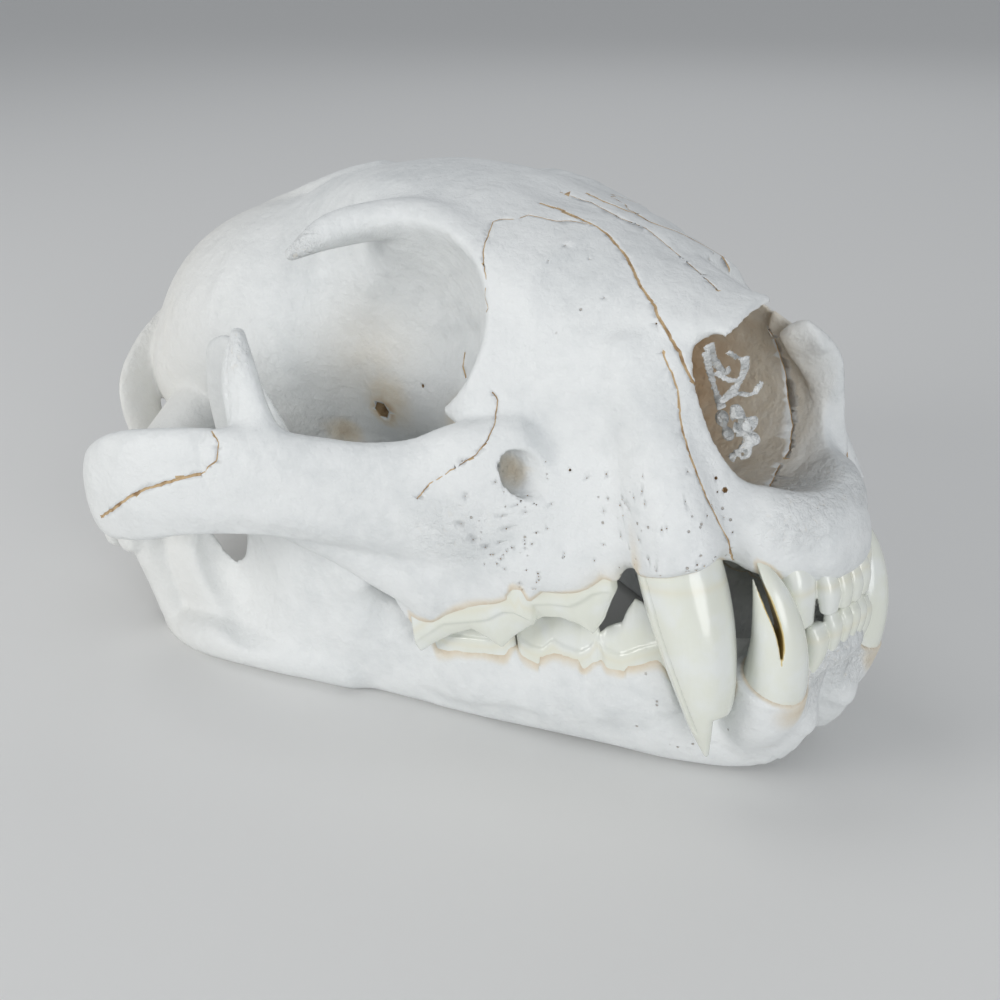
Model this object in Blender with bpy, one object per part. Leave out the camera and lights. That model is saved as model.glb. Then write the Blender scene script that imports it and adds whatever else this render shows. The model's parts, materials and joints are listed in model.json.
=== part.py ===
# Adult male cougar skull with its lower jaw, life size, resting on the jaw with the teeth closed.
#
# Each bone is shaped as a level set: rounded forms are joined and hollowed with soft seams in a block of
# signed distances, and the surface where the distance is zero becomes the mesh. The forms are placed in the
# skull's own frame, in millimetres: X forwards, Z up, the palate level, and the origin at the gum between
# the first incisors. The left half is described and mirrored, but for the nose bones and the broken teeth.

import math

import bmesh
import bpy
import numpy as np
import openvdb
from mathutils import Matrix

MM = 0.001

# How the skull lies: the nose is raised, and the table is this far below the origin
TILT = math.radians(10.77)
FLOOR = 47.2
MIDDLE = -95.25

# Mesh sizes: distance samples, triangles left on each node, and the gap between touching nodes
BONE_STEP = 1.0
TOOTH_STEP = 0.7
CRANIUM_FACES = 8200
JAW_FACES = 2500
CANINE_FACES = 260
GAP = 0.32
SYMPHYSIS_GAP = 0.36

FAR = 30.0


def smooth_min(a, b, seam):
    h = np.maximum(seam - np.abs(a - b), 0.0) / seam
    return np.minimum(a, b) - h * h * h * seam / 6.0


def spline(rows, count):
    """A smooth curve through the rows, sampled at equal steps of its parameter."""
    p = np.asarray(rows, float)
    if len(p) == 2:
        return p[0] + (p[1] - p[0]) * np.linspace(0, 1, count)[:, None]
    steps = np.linalg.norm(np.diff(p[:, :3], axis=0), axis=1) ** 0.5
    t = np.r_[0, np.cumsum(steps)]
    ends = np.vstack([2 * p[0] - p[1], p, 2 * p[-1] - p[-2]])
    times = np.r_[-steps[0], t, t[-1] + steps[-1]]
    out = []
    for u in np.linspace(0, t[-1], count):
        i = min(max(np.searchsorted(t, u, side="right"), 1), len(p) - 1)
        t0, t1, t2, t3 = times[i - 1 : i + 3]
        p0, p1, p2, p3 = ends[i - 1 : i + 3]
        a1 = (t1 - u) / (t1 - t0) * p0 + (u - t0) / (t1 - t0) * p1
        a2 = (t2 - u) / (t2 - t1) * p1 + (u - t1) / (t2 - t1) * p2
        a3 = (t3 - u) / (t3 - t2) * p2 + (u - t2) / (t3 - t2) * p3
        b1 = (t2 - u) / (t2 - t0) * a1 + (u - t0) / (t2 - t0) * a2
        b2 = (t3 - u) / (t3 - t1) * a2 + (u - t1) / (t3 - t1) * a3
        out.append((t2 - u) / (t2 - t1) * b1 + (u - t1) / (t2 - t1) * b2)
    return np.array(out)


class Ball:
    """An ellipsoid: its centre, its three radii, and its turn about X, Y and Z in degrees."""

    def __init__(self, centre, radii, turn=(0, 0, 0)):
        self.centre = np.array(centre, float)
        self.radii = np.array(radii, float)
        x, y, z = (Matrix.Rotation(math.radians(a), 3, n) for a, n in zip(turn, "XYZ"))
        self.turn = np.array(z @ y @ x)
        reach = np.sqrt(((self.turn * self.radii) ** 2).sum(1))
        self.low, self.high = self.centre - reach, self.centre + reach

    def level(self, x, y, z):
        d = [x - self.centre[0], y - self.centre[1], z - self.centre[2]]
        total = 0
        for i in range(3):
            total = total + (sum(d[j] * self.turn[j, i] for j in range(3)) / self.radii[i]) ** 2
        return np.sqrt(total) - 1


class Sweep:
    """An oval carried along a smooth path. Each size is its half height, along facing, and its half width."""

    def __init__(self, path, sizes, facing=(0, 0, 1), power=2.0, cap=None, count=48):
        rows = spline(np.hstack([np.asarray(path, float), np.asarray(sizes, float)]), count)
        self.path = rows[:, :3]
        self.high_half = np.maximum(rows[:, 3], 0.05)
        self.wide_half = np.maximum(rows[:, 4], 0.05)
        along = np.gradient(self.path, axis=0)
        self.step = np.linalg.norm(along, axis=1)
        self.along = along / self.step[:, None]
        up = np.broadcast_to(np.asarray(facing, float), self.path.shape)
        up = up - (up * self.along).sum(1)[:, None] * self.along
        self.up = up / np.linalg.norm(up, axis=1)[:, None]
        self.side = np.cross(self.along, self.up)
        self.power, self.cap = power, cap
        reach = np.maximum(self.high_half, self.wide_half)[:, None]
        self.low, self.high = (self.path - reach).min(0), (self.path + reach).max(0)

    def level(self, x, y, z):
        shape = np.broadcast(x, y, z).shape
        best = np.full(shape, 1e9, np.float32)
        near = np.zeros(shape, np.int16)
        for i, p in enumerate(self.path):
            d = (x - p[0]) ** 2 + (y - p[1]) ** 2 + (z - p[2]) ** 2
            near = np.where(d < best, i, near)
            best = np.minimum(best, d)
        d = [x - self.path[near, 0], y - self.path[near, 1], z - self.path[near, 2]]
        ahead = sum(d[j] * self.along[near, j] for j in range(3))
        rise = sum(d[j] * self.up[near, j] for j in range(3))
        out = sum(d[j] * self.side[near, j] for j in range(3))
        last = len(self.path) - 1
        index = np.clip(near + ahead / self.step[near], 0, last)
        high = np.interp(index, np.arange(last + 1), self.high_half)
        wide = np.interp(index, np.arange(last + 1), self.wide_half)
        past_end = ((near == 0) & (ahead < 0)) | ((near == last) & (ahead > 0))
        over = np.where(past_end, np.abs(ahead), 0) / (self.cap or np.minimum(high, wide))
        total = np.abs(rise / high) ** self.power + np.abs(out / wide) ** self.power + over**self.power
        return total ** (1 / self.power) - 1


class Hull:
    """A body across both sides. Each station: x, lowest z, highest z, half width at foot, middle and top."""

    ROUND_END = 4.0

    def __init__(self, stations, power):
        self.rows = np.array(sorted(stations), float)
        self.curve = spline(self.rows, 160)
        self.power = power
        self.low = np.array([self.rows[0, 0], -self.rows[:, 3:].max(), self.rows[:, 1].min()])
        self.high = np.array([self.rows[-1, 0], self.rows[:, 3:].max(), self.rows[:, 2].max()])

    def level(self, x, y, z):
        low, high, foot, middle, top = (np.interp(x, self.curve[:, 0], self.curve[:, j]) for j in range(1, 6))
        t = (2 * z - low - high) / (high - low)
        end = np.where(t < 0, foot, top)
        wide = middle + (end - middle) * np.clip(t, -1, 1) ** 2
        over = np.maximum(np.maximum(self.rows[0, 0] - x, x - self.rows[-1, 0]), 0) / self.ROUND_END
        total = np.abs(y / wide) ** self.power + np.abs(t) ** self.power + over**self.power
        return total ** (1 / self.power) - 1


class Block:
    """Signed distances in a box. With half, it holds y from 0 outwards and meshes both sides."""

    def __init__(self, low, high, step, half=True):
        self.step, self.half = step, half
        low = (low[0], -2 * step, low[2]) if half else low
        self.axes = [np.arange(a, b + step, step) for a, b in zip(low, high)]
        self.d = np.full([len(a) for a in self.axes], FAR, np.float32)

    def near(self, form, seam):
        """The part of the block round a form, and the distances to the form there."""
        room = max(9.0, seam + 2)
        window = []
        for axis, low, high in zip(self.axes, form.low, form.high):
            i, j = np.searchsorted(axis, [low - room, high + room])
            window.append(slice(max(i - 1, 0), j + 1))
        grid = (self.axes[i][window[i]].reshape([-1 if k == i else 1 for k in range(3)]) for i in range(3))
        level = form.level(*grid)
        slope = np.sqrt(sum(g**2 for g in np.gradient(level, self.step)))
        distance = np.clip(level / np.maximum(slope, 0.004), -FAR, FAR)
        return tuple(window), distance.astype(np.float32)

    def add(self, form, seam):
        window, distance = self.near(form, seam)
        self.d[window] = smooth_min(self.d[window], distance, seam)

    def cut(self, form, seam):
        window, distance = self.near(form, seam)
        self.d[window] = -smooth_min(-self.d[window], distance, seam)

    def whole(self):
        """Mirrors the half, so that what follows can differ between the sides."""
        core = self.d[:, 2:, :]
        self.d = np.concatenate([core[:, :0:-1, :], core], axis=1)
        side = core.shape[1] - 1
        self.axes[1] = np.arange(-side, side + 1) * self.step
        self.half = False

    def surface(self):
        """Points and faces where the distance is zero."""
        if self.half:
            self.whole()
        start = [a[0] for a in self.axes]
        d = np.pad(np.clip(self.d, -3 * self.step, 3 * self.step), 1, constant_values=3 * self.step)
        grid = openvdb.FloatGrid(3 * self.step)
        grid.copyFromArray(np.ascontiguousarray(d))
        points, triangles, quads = grid.convertToPolygons(0.0, 0.0)
        return points * self.step + np.array(start) - self.step, triangles.tolist() + quads.tolist()


class Blade:
    """A cheek tooth along X. Each row: x, middle y, gum height, cutting edge height and half width.

    A band of full width runs along the gum, and above it the crown thins towards its edge.
    """

    FOOT = 6.0
    WAIST = 0.74
    LIP = 0.5

    def __init__(self, rows, band):
        self.rows = np.array(sorted(rows), float)
        self.band = band
        self.up = 1.0 if self.rows[:, 3].mean() > self.rows[:, 2].mean() else -1.0
        reach = self.rows[:, 4].max() + 1
        heights = np.r_[self.rows[:, 2] - self.up * self.FOOT, self.rows[:, 3]]
        self.low = np.array([self.rows[0, 0] - 1, self.rows[:, 1].min() - reach, heights.min() - 1])
        self.high = np.array([self.rows[-1, 0] + 1, self.rows[:, 1].max() + reach, heights.max() + 1])

    def level(self, x, y, z):
        middle, gum, edge, half = (np.interp(x, self.rows[:, 0], self.rows[:, j]) for j in range(1, 5))
        high = (z - gum) * self.up
        tall = np.maximum((edge - gum) * self.up, 0.5)
        above = np.clip((high - self.band) / 0.9, 0, 1)
        waist = 1 - (1 - self.WAIST) * above * above * (3 - 2 * above)
        run = np.clip((high - self.band) / np.maximum(tall - self.band, 0.4), 0, 1)
        wide = half * waist * (1 - run**1.7) + self.LIP * np.minimum(half, 1.0) * run
        level = np.abs(y - middle) - wide
        for other in (high - tall, -high - self.FOOT, self.rows[0, 0] - x, x - self.rows[-1, 0]):
            level = -smooth_min(-level, -other, 0.7)
        return level


def socket_ridge(rows, lift, tall, spare):
    """Bone that holds a row of teeth up to its gum."""
    path = [(x, y, gum + lift) for x, y, gum, edge, half in rows[::2]]
    sizes = [(tall, half + spare) for x, y, gum, edge, half in rows[::2]]
    return Sweep(path, sizes, power=2.6, cap=1.6, count=40)


def add_incisor(block, x, y, half, gum, edge):
    """A small crown, spread towards its edge, on a root that leans back."""
    up = 1 if edge > gum else -1
    path = [(x - 2.6, y, gum - 6 * up), (x, y, gum), (x + 0.25, y, gum + 2 * up), (x + 0.1, y, edge - 1.35 * up)]
    sizes = [(0.8 * half, 0.7 * half), (0.95 * half, 0.92 * half), (0.9 * half, 1.02 * half), (0.5 * half, 0.8 * half)]
    block.add(Sweep(path, sizes, facing=(1, 0, 0), power=2.3, cap=1.2, count=24), 0.3)


# Teeth. Cheek teeth as rows of x, middle y, gum, cutting edge and half width: the shearing tooth, then those
# in front of it. Incisors as x, y, half width, gum and edge.

UPPER_SHEAR = [
    (-75.0, 41.7, -13.2, -15.8, 0.6),
    (-73.9, 41.7, -12.0, -16.9, 1.4),
    (-70.5, 40.9, -9.9, -14.8, 1.9),
    (-66.1, 39.6, -7.2, -12.5, 2.2),
    (-61.2, 38.1, -6.5, -11.0, 2.2),
    (-58.2, 37.0, -6.0, -12.9, 2.6),
    (-55.8, 36.1, -5.4, -14.7, 3.0),
    (-52.5, 35.2, -3.7, -11.8, 2.9),
    (-50.0, 34.9, -3.5, -10.2, 2.7),
    (-47.6, 34.9, -4.4, -8.9, 2.1),
    (-46.4, 35.2, -5.4, -7.4, 0.7),
]
UPPER_POINTED = [
    (-49.3, 34.4, -4.7, -7.6, 0.7),
    (-48.2, 34.4, -3.2, -8.6, 2.1),
    (-46.2, 33.2, -1.9, -7.6, 2.5),
    (-43.4, 31.4, -2.1, -7.9, 2.3),
    (-40.4, 29.4, -2.6, -9.6, 2.8),
    (-38.6, 28.1, -1.9, -11.7, 2.9),
    (-36.5, 27.0, -0.4, -8.8, 2.6),
    (-34.8, 26.5, 0.0, -5.2, 2.1),
    (-33.2, 26.6, -0.1, -2.9, 1.1),
]
LOWER_SHEAR = [
    (-74.5, 37.6, -13.0, -11.0, 0.7),
    (-72.5, 37.2, -14.4, -6.6, 1.7),
    (-69.5, 36.2, -15.6, -3.0, 2.2),
    (-65.2, 35.0, -15.6, -7.2, 2.3),
    (-60.5, 33.4, -15.8, -3.6, 2.3),
    (-57.6, 32.5, -15.4, -7.6, 1.6),
    (-56.4, 32.2, -14.4, -10.5, 0.7),
]
LOWER_POINTED = [
    (-55.9, 31.3, -14.3, -11.8, 0.8),
    (-54.6, 30.7, -15.8, -10.3, 1.8),
    (-52.4, 29.3, -17.3, -8.9, 2.3),
    (-50.4, 28.8, -17.6, -9.8, 2.2),
    (-48.1, 27.9, -15.7, -8.6, 2.1),
    (-46.2, 26.7, -17.0, -5.4, 2.6),
    (-43.4, 25.3, -18.2, -9.0, 2.6),
    (-41.2, 24.9, -17.0, -9.6, 2.2),
    (-39.7, 25.4, -15.2, -11.6, 1.0),
]
LOWER_FRONT = [
    (-39.9, 25.1, -14.8, -12.8, 0.8),
    (-38.1, 24.5, -16.9, -11.3, 1.9),
    (-36.4, 23.7, -17.8, -10.5, 2.0),
    (-35.3, 23.3, -18.0, -10.3, 2.0),
    (-34.0, 22.7, -17.7, -7.6, 2.3),
    (-32.4, 22.1, -16.9, -5.5, 2.5),
    (-31.0, 21.6, -16.3, -6.2, 2.5),
    (-29.4, 21.2, -15.8, -8.0, 2.2),
    (-27.5, 20.9, -15.2, -11.2, 1.9),
    (-25.2, 20.9, -14.6, -13.3, 1.0),
]
UPPER_INCISORS = [(-0.7, 1.7, 1.65, -3.6, -9.0), (-1.3, 5.2, 1.8, -3.1, -8.9), (-5.8, 9.2, 2.4, -0.2, -10.4)]
LOWER_INCISORS = [(-1.0, 1.35, 1.3, -13.8, -9.4), (-1.7, 4.0, 1.45, -14.5, -9.4), (-3.4, 6.9, 1.75, -16.0, -10.7)]


# Cranium


def add_face(block):
    # muzzle from the incisors to the front of the eyes
    block.add(
        Hull(
            [
                (0.5, -3, 6, 11, 10, 8),
                (-4, -3, 13, 19, 17, 12),
                (-8, -2.5, 15, 21, 18.5, 14),
                (-11.5, 0, 20, 24, 18.5, 16),
                (-13.5, 1, 28, 25, 18.5, 16.5),
                (-15.5, 1.6, 36, 26, 19, 17),
                (-18, 1.8, 44, 27, 20, 17.5),
                (-22, 1.6, 50.5, 28, 22, 18),
                (-30, 0.4, 54.5, 30, 24.5, 19),
                (-38, -1, 59, 32, 27, 20.5),
                (-48, -3, 62.5, 36, 30, 22.5),
                (-57, -4, 65.5, 40, 34, 25),
                (-66, -5, 67.5, 40, 34, 25),
            ],
            power=2.9,
        ),
        2,
    )
    # nose bones, drawn forwards over the opening
    block.add(
        Hull(
            [(-14.5, 37, 48, 11, 12.5, 8), (-20, 38, 49.8, 14, 15.5, 11), (-28, 38, 53, 18, 18, 14), (-38, 38, 58, 20, 20, 16)],
            power=2.4,
        ),
        2,
    )
    # forehead
    block.add(
        Hull(
            [
                (-48, 40, 62, 22, 25, 20),
                (-57, 42, 65.8, 22, 26, 23),
                (-66, 42, 70, 20, 25, 24),
                (-76, 40, 73.4, 18, 23, 25),
                (-86, 38, 75.6, 17, 22, 27),
                (-98, 36, 77.2, 17, 20, 29),
                (-112, 34, 77, 18, 20, 22),
                (-126, 30, 75.3, 22, 24, 18),
                (-136, 30, 71, 24, 28, 20),
            ],
            power=2.5,
        ),
        6,
    )
    # inner walls of the eye sockets
    block.add(
        Hull(
            [
                (-52, -2, 50, 33, 28, 22),
                (-62, -3, 50, 33, 23, 18),
                (-72, -2, 50, 32, 20, 17),
                (-80, 4, 50, 20, 18, 17),
                (-90, 10, 50, 14, 17, 17),
                (-104, 13, 50, 14, 17, 17),
                (-118, 12, 50, 16, 19, 19),
                (-134, 12, 50, 22, 26, 26),
            ],
            power=2.6,
        ),
        5,
    )


def add_braincase(block):
    block.add(Ball((-146, 0, 41), (42, 36, 31)), 8)
    block.add(Ball((-164, 0, 34), (22, 35, 24)), 8)
    # brow, drawn out to the point behind the eye
    block.add(
        Sweep(
            [(-60, 22, 58), (-70, 21, 64), (-79, 21.5, 67), (-88, 25, 67.5), (-95, 31.5, 66.5), (-99.5, 37.5, 63.5)],
            [(4, 4), (4, 4), (4, 4.5), (4, 5), (3.4, 4.4), (1.4, 2.0)],
            cap=1.5,
        ),
        5,
    )
    # crest along the top
    block.add(
        Sweep(
            [(-112, 0, 75), (-126, 0, 73), (-143, 0, 69), (-161, 0, 64), (-176, 0, 58), (-185, 0, 53)],
            [(3, 3), (4, 3), (5, 2.6), (5.5, 2.4), (5.5, 2.6), (4, 3)],
            cap=2,
        ),
        4,
    )
    # crest across the back, from the top down to the ear
    block.add(
        Sweep(
            [
                (-184.5, 0, 52),
                (-183.5, 10, 49.5),
                (-181, 20, 45),
                (-178.5, 29, 39.5),
                (-176.5, 35.5, 32),
                (-174.5, 36.5, 22),
                (-170, 35, 12),
            ],
            [(3.2, 4), (3, 4), (2.6, 4.2), (2.4, 4.8), (2.3, 5.2), (3, 5), (4, 5)],
            facing=(1, 0, 0),
            cap=2,
        ),
        5,
    )


def add_base(block):
    # floor of the braincase
    block.add(
        Hull(
            [
                (-96, 8, 30, 10, 12, 14),
                (-120, 8, 30, 14, 16, 18),
                (-140, 7, 30, 20, 26, 30),
                (-160, 8, 30, 26, 32, 34),
                (-180, 10, 30, 18, 26, 28),
            ],
            power=3,
        ),
        4,
    )
    # ear capsule, the process behind it, and the knuckle that carries the skull on the neck
    block.add(Ball((-164, 24, 11), (16, 10, 12.5), (0, 8, -18)), 2)
    block.add(Sweep([(-178, 38, 16), (-176, 37, 6), (-174.5, 36, 0)], [(5, 6), (4, 4), (2, 2)], facing=(1, 0, 0)), 3)
    block.add(Ball((-183, 14, 21), (8, 8.5, 9.5), (0, 20, -25)), 3)
    # plate beside the throat, and its hook
    block.add(
        Sweep([(-78, 12, 6), (-90, 11.5, 7), (-104, 11.5, 8), (-114, 12, 8)], [(6, 1.6), (7, 1.4), (7, 1.4), (4, 1.3)]),
        2,
    )
    block.add(
        Sweep([(-110, 12, 6), (-115, 12.5, 0), (-118, 13, -2.5)], [(2, 1.3), (1.5, 1.1), (1, 1)], facing=(1, 0, 0)),
        1.5,
    )


def add_upper_jaw(block):
    # bone above the cheek teeth
    block.add(
        Hull(
            [
                (-22, 1.2, 24, 27, 26, 23),
                (-34, -0.2, 25, 30.5, 28.5, 25),
                (-44, -2.7, 27, 35, 33.5, 30),
                (-54, -4.9, 29, 39.2, 38.5, 34),
                (-64, -7.6, 27, 42.8, 42.5, 38),
                (-72, -10.8, 20, 43.6, 43, 39),
                (-76, -9.5, 12, 41, 40, 36),
            ],
            power=4.5,
        ),
        4,
    )
    # swelling over the canine's root
    block.add(
        Sweep(
            [(-19.4, 22.4, 4), (-21.8, 22, 14), (-26, 19.8, 28), (-31, 18.5, 42)],
            [(9.4, 8), (8.8, 6.8), (7, 5.6), (4, 4)],
            facing=(1, 0, 0),
            cap=2,
        ),
        4,
    )


def add_cheek_arch(block):
    block.add(
        Sweep(
            [
                (-47, 31, 19),
                (-56, 36, 17.5),
                (-66, 41, 16),
                (-76, 47, 17.5),
                (-87, 54.5, 20.5),
                (-99, 62, 22.6),
                (-111, 68, 23.2),
                (-123, 71.4, 22),
                (-134, 71.4, 19.6),
                (-142, 66, 18),
                (-148, 57, 16.5),
                (-152, 46, 18),
                (-154, 34, 22),
            ],
            [
                (12, 5),
                (13.5, 6),
                (12.5, 5.5),
                (10.8, 5),
                (10.5, 4.6),
                (10.8, 4),
                (11.2, 3.6),
                (11.6, 3.5),
                (10, 3.6),
                (8, 5),
                (7, 7),
                (7.5, 8),
                (10, 10),
            ],
            power=2.3,
            count=72,
        ),
        4,
    )
    # the arch's root, down to the last tooth, and the muscle's mark along its lower edge
    block.add(
        Sweep(
            [(-66, 40, -2), (-75, 43.2, 3), (-84, 47.8, 9.6), (-93, 54, 15)],
            [(7.4, 4), (7.6, 4), (7.2, 4), (6, 4)],
            cap=2,
        ),
        3,
    )
    block.cut(
        Sweep(
            [(-80, 55.5, 7), (-88, 61.8, 9.6), (-99, 69, 11.6), (-111, 75, 12.4), (-122, 78, 12)],
            [(3.2, 3), (4.6, 4.2), (4.8, 4.4), (4.8, 4.6), (3, 3)],
            cap=6,
        ),
        1.2,
    )
    # point on the arch that closes the eye socket from below
    block.add(
        Sweep(
            [(-97, 56.5, 26), (-100, 55.5, 36), (-101.4, 53.8, 44), (-101.8, 52.4, 50)],
            [(10, 3.4), (7.4, 2.8), (4.8, 2.4), (1.8, 1.5)],
            facing=(1, 0, 0),
            cap=1.5,
        ),
        5,
    )
    # stop behind the jaw joint
    block.add(Sweep([(-156.5, 41, 4), (-156.5, 50, 3), (-155.5, 60, 6)], [(7, 3), (7, 3), (5, 3)]), 3)


def cut_openings(block):
    # eye socket, and the gap beneath it behind the last tooth
    block.cut(
        Sweep(
            [(-62, 72, 68), (-71, 52, 57), (-77.5, 39, 49.5), (-87, 31, 45), (-99, 27, 42), (-113, 28, 41)],
            [(30, 30), (25, 26), (21.5, 23.5), (18, 19), (14, 12), (4, 3)],
        ),
        2.5,
    )
    block.cut(Sweep([(-92, 34, 12), (-100, 38, 14), (-112, 44, 14)], [(30, 13), (34, 16), (34, 20)], cap=8), 4)
    # room for the tip of the lower canine
    block.cut(Ball((-8.2, 20.6, -2.2), (6.9, 7.6, 9.6)), 3)
    # groove between the nose bones and between the brows
    block.cut(
        Sweep(
            [(-16, 0, 52.5), (-30, 0, 58.5), (-44, 0, 66.5), (-58, 0, 71), (-68, 0, 76.5), (-80, 0, 81)],
            [(3, 5), (3, 5), (3, 5), (4, 7), (4, 8), (4, 9)],
        ),
        3,
    )
    # nose
    block.cut(
        Sweep(
            [(4, 0, 28), (-10, 0, 28.5), (-16, 0, 29.5), (-26, 0, 31), (-40, 0, 34), (-62, 0, 38)],
            [(15.5, 16.5), (16.2, 16.8), (17, 16.8), (18, 17), (18, 16), (11, 10)],
            power=2.3,
        ),
        1.5,
    )
    # nerve canal through the cheek into the eye socket
    block.cut(
        Sweep(
            [(-40, 34, 20.6), (-53, 35.2, 22.4), (-62, 35.4, 24.5), (-71, 35, 27)],
            [(4.7, 2.6), (4.5, 2.5), (5, 4), (7, 7)],
            count=24,
        ),
        1.2,
    )
    # throat, palate, spinal opening and jaw joint
    block.cut(Sweep([(-80, 0, 9), (-96, 0, 9), (-116, 0, 6)], [(5.5, 9), (6, 9.5), (5, 9.5)], power=2.6), 1.5)
    block.cut(Ball((-50, 0, -9), (46, 29, 10), (0, -2, 0)), 3)
    block.cut(
        Sweep([(-20, 17, -6), (-38, 25, -6.5), (-56, 31.5, -7.5), (-76, 35.5, -9)], [(7, 5), (7.5, 5), (8, 5.2), (9, 5.2)]),
        1.5,
    )
    block.cut(Ball((-190, 0, 27), (10, 9.5, 8.5)), 2)
    block.cut(Sweep([(-149, 37, 3.5), (-149, 64, 4)], [(5.2, 5.2), (5.2, 5.2)]), 1)


def add_upper_teeth(block):
    for rows in (UPPER_SHEAR, UPPER_POINTED):
        block.add(socket_ridge(rows, 4.8, 5.2, 0.7), 3)
    # bone round the roots of the incisors
    block.add(
        Sweep(
            [(-2.6, 0, 0.2), (-3, 4, 0.4), (-5.6, 8.2, 1.8), (-8.5, 12.5, 4.4)],
            [(3.8, 3.2), (3.8, 3.2), (3.6, 3.2), (3.2, 3)],
        ),
        2,
    )
    for rows in (UPPER_SHEAR, UPPER_POINTED):
        block.add(Blade(rows, 2), 0.3)
    for tooth in UPPER_INCISORS:
        add_incisor(block, *tooth)


def cranium_block():
    block = Block((-200, 0, -20), (9, 84, 88), BONE_STEP)
    add_face(block)
    add_braincase(block)
    add_base(block)
    add_upper_jaw(block)
    add_cheek_arch(block)
    cut_openings(block)
    add_upper_teeth(block)
    block.whole()
    # left nose bone drawn out to its point, and the round notch broken into the right one
    block.add(
        Sweep([(-20, 13.5, 42), (-14.5, 14, 39.5), (-10.6, 13, 35.6)], [(5.5, 1.5), (4.2, 1.3), (1, 0.8)], cap=0.8),
        1.5,
    )
    block.cut(Ball((-14.6, -15.4, 42), (3.6, 3.4, 3.6)), 0.6)
    return block


# Lower jaw


def add_jaw_bone(block):
    # body
    block.add(
        Sweep(
            [
                (-12, 7.6, -25.4),
                (-19, 9.2, -29),
                (-30, 14.6, -29.4),
                (-42, 20.4, -27.9),
                (-54, 25.6, -26.2),
                (-68, 30.6, -24.1),
                (-84, 36, -20.5),
                (-100, 42, -15.5),
                (-114, 47, -12),
            ],
            [
                (10.4, 5.2),
                (13.2, 7),
                (12.4, 7.3),
                (11, 6.8),
                (10.4, 6.4),
                (10.6, 6),
                (11.6, 5.6),
                (13.5, 5),
                (14, 4.6),
            ],
            power=2.2,
        ),
        4,
    )
    # chin, and the swelling round the canine
    block.add(
        Sweep(
            [(-6.3, 4, -15), (-11.4, 4.6, -25), (-19, 5.5, -33), (-26, 6.5, -35.5)],
            [(3.6, 5.6), (5.4, 6.1), (6.6, 6.3), (5.6, 6)],
            facing=(1, 0, 0.4),
        ),
        4,
    )
    block.add(
        Sweep(
            [(-10.6, 13.1, -24.2), (-13.4, 12.4, -27.5), (-19, 11.8, -33)],
            [(7.7, 7), (7.4, 6.8), (6.6, 5.8)],
            facing=(1, 0, 0),
            cap=1.6,
        ),
        3,
    )
    # upright plate, its upper blade, and the joint's knuckle
    block.add(
        Sweep(
            [(-92, 41.5, -13), (-104, 44.5, -9), (-116, 47.5, -8), (-128, 50, -7.5), (-139, 51.5, -5), (-147, 52.5, -2)],
            [(12, 4.2), (15, 4), (15.5, 3.8), (14, 3.7), (11, 3.6), (7, 4)],
            power=2.4,
        ),
        4,
    )
    block.add(
        Sweep(
            [(-103, 43.8, -8), (-107, 44.8, 6), (-112.5, 45.8, 22), (-117.5, 46, 37), (-119.5, 45.6, 45)],
            [(21, 3.4), (18, 2.8), (14.5, 2.2), (10, 1.8), (6, 1.4)],
            facing=(1, 0, 0),
            cap=3,
        ),
        4,
    )
    block.add(
        Sweep(
            [(-148, 57.5, 2), (-147.5, 56, -6), (-146.5, 54.8, -14)],
            [(4.2, 3.4), (4.2, 3.2), (4, 3.2)],
            facing=(1, 0, 0),
        ),
        3,
    )
    block.add(Sweep([(-149, 40, 4), (-149, 50, 4.4), (-149, 61.2, 4)], [(4, 4), (4.4, 4.4), (3.6, 3.6)], cap=2), 2)
    # lower edge, turned out and drawn back to a hook
    block.add(
        Sweep(
            [
                (-96, 43, -25.5),
                (-112, 49.5, -22.2),
                (-124, 53.5, -20),
                (-134, 55, -19.4),
                (-142, 54.5, -19),
                (-147.6, 53.8, -18.6),
            ],
            [(4, 4), (4.4, 4.2), (4.8, 4.4), (4.6, 4.4), (4.3, 4), (3.6, 3.2)],
            cap=2,
        ),
        4,
    )
    # hollow for the chewing muscle
    block.cut(Ball((-112, 56.5, 0), (23, 8, 20), (0, 20, 14)), 4)


def add_lower_teeth(block):
    for rows in (LOWER_SHEAR, LOWER_POINTED, LOWER_FRONT):
        block.add(socket_ridge(rows, -6.4, 6.4, 0.6), 4)
    # bone round the roots of the incisors
    block.add(
        Sweep(
            [(-3.2, 0, -17.4), (-3.7, 3.5, -17.7), (-5.2, 6.6, -18.8), (-8, 9.2, -20.4)],
            [(3.4, 2.8), (3.4, 2.8), (3.2, 2.8), (3, 2.6)],
        ),
        2,
    )
    for rows in (LOWER_SHEAR, LOWER_POINTED, LOWER_FRONT):
        block.add(Blade(rows, 1.2), 0.3)
    for tooth in LOWER_INCISORS:
        add_incisor(block, *tooth)


def jaw_block():
    block = Block((-160, 0, -52), (8, 66, 54), BONE_STEP)
    add_jaw_bone(block)
    add_lower_teeth(block)
    return block


# Canines: path and sizes of each, from root to tip

UPPER_CANINE_PATH = [
    (-25, 21.3, 18),
    (-23, 21.7, 10),
    (-20.4, 22.3, 0),
    (-18, 23.2, -10),
    (-16.9, 23.6, -20),
    (-17.6, 23.2, -28),
    (-18.4, 22.9, -34),
]
UPPER_CANINE_SIZES = [(6.4, 5.6), (7.4, 6.6), (8.2, 7.2), (7.5, 6.7), (5.8, 5.1), (3.5, 3.1), (0.9, 0.8)]
LOWER_CANINE_PATH = [(-14.9, 12, -32), (-12.9, 12.5, -28.5), (-9.6, 13.3, -23), (-6.5, 14.3, -13), (-6.5, 15.1, -4), (-8.9, 15.7, 4.5)]
LOWER_CANINE_SIZES = [(4.8, 4.2), (5.6, 5), (6.2, 5.4), (5.3, 4.7), (3.7, 3.3), (0.8, 0.8)]


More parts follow.
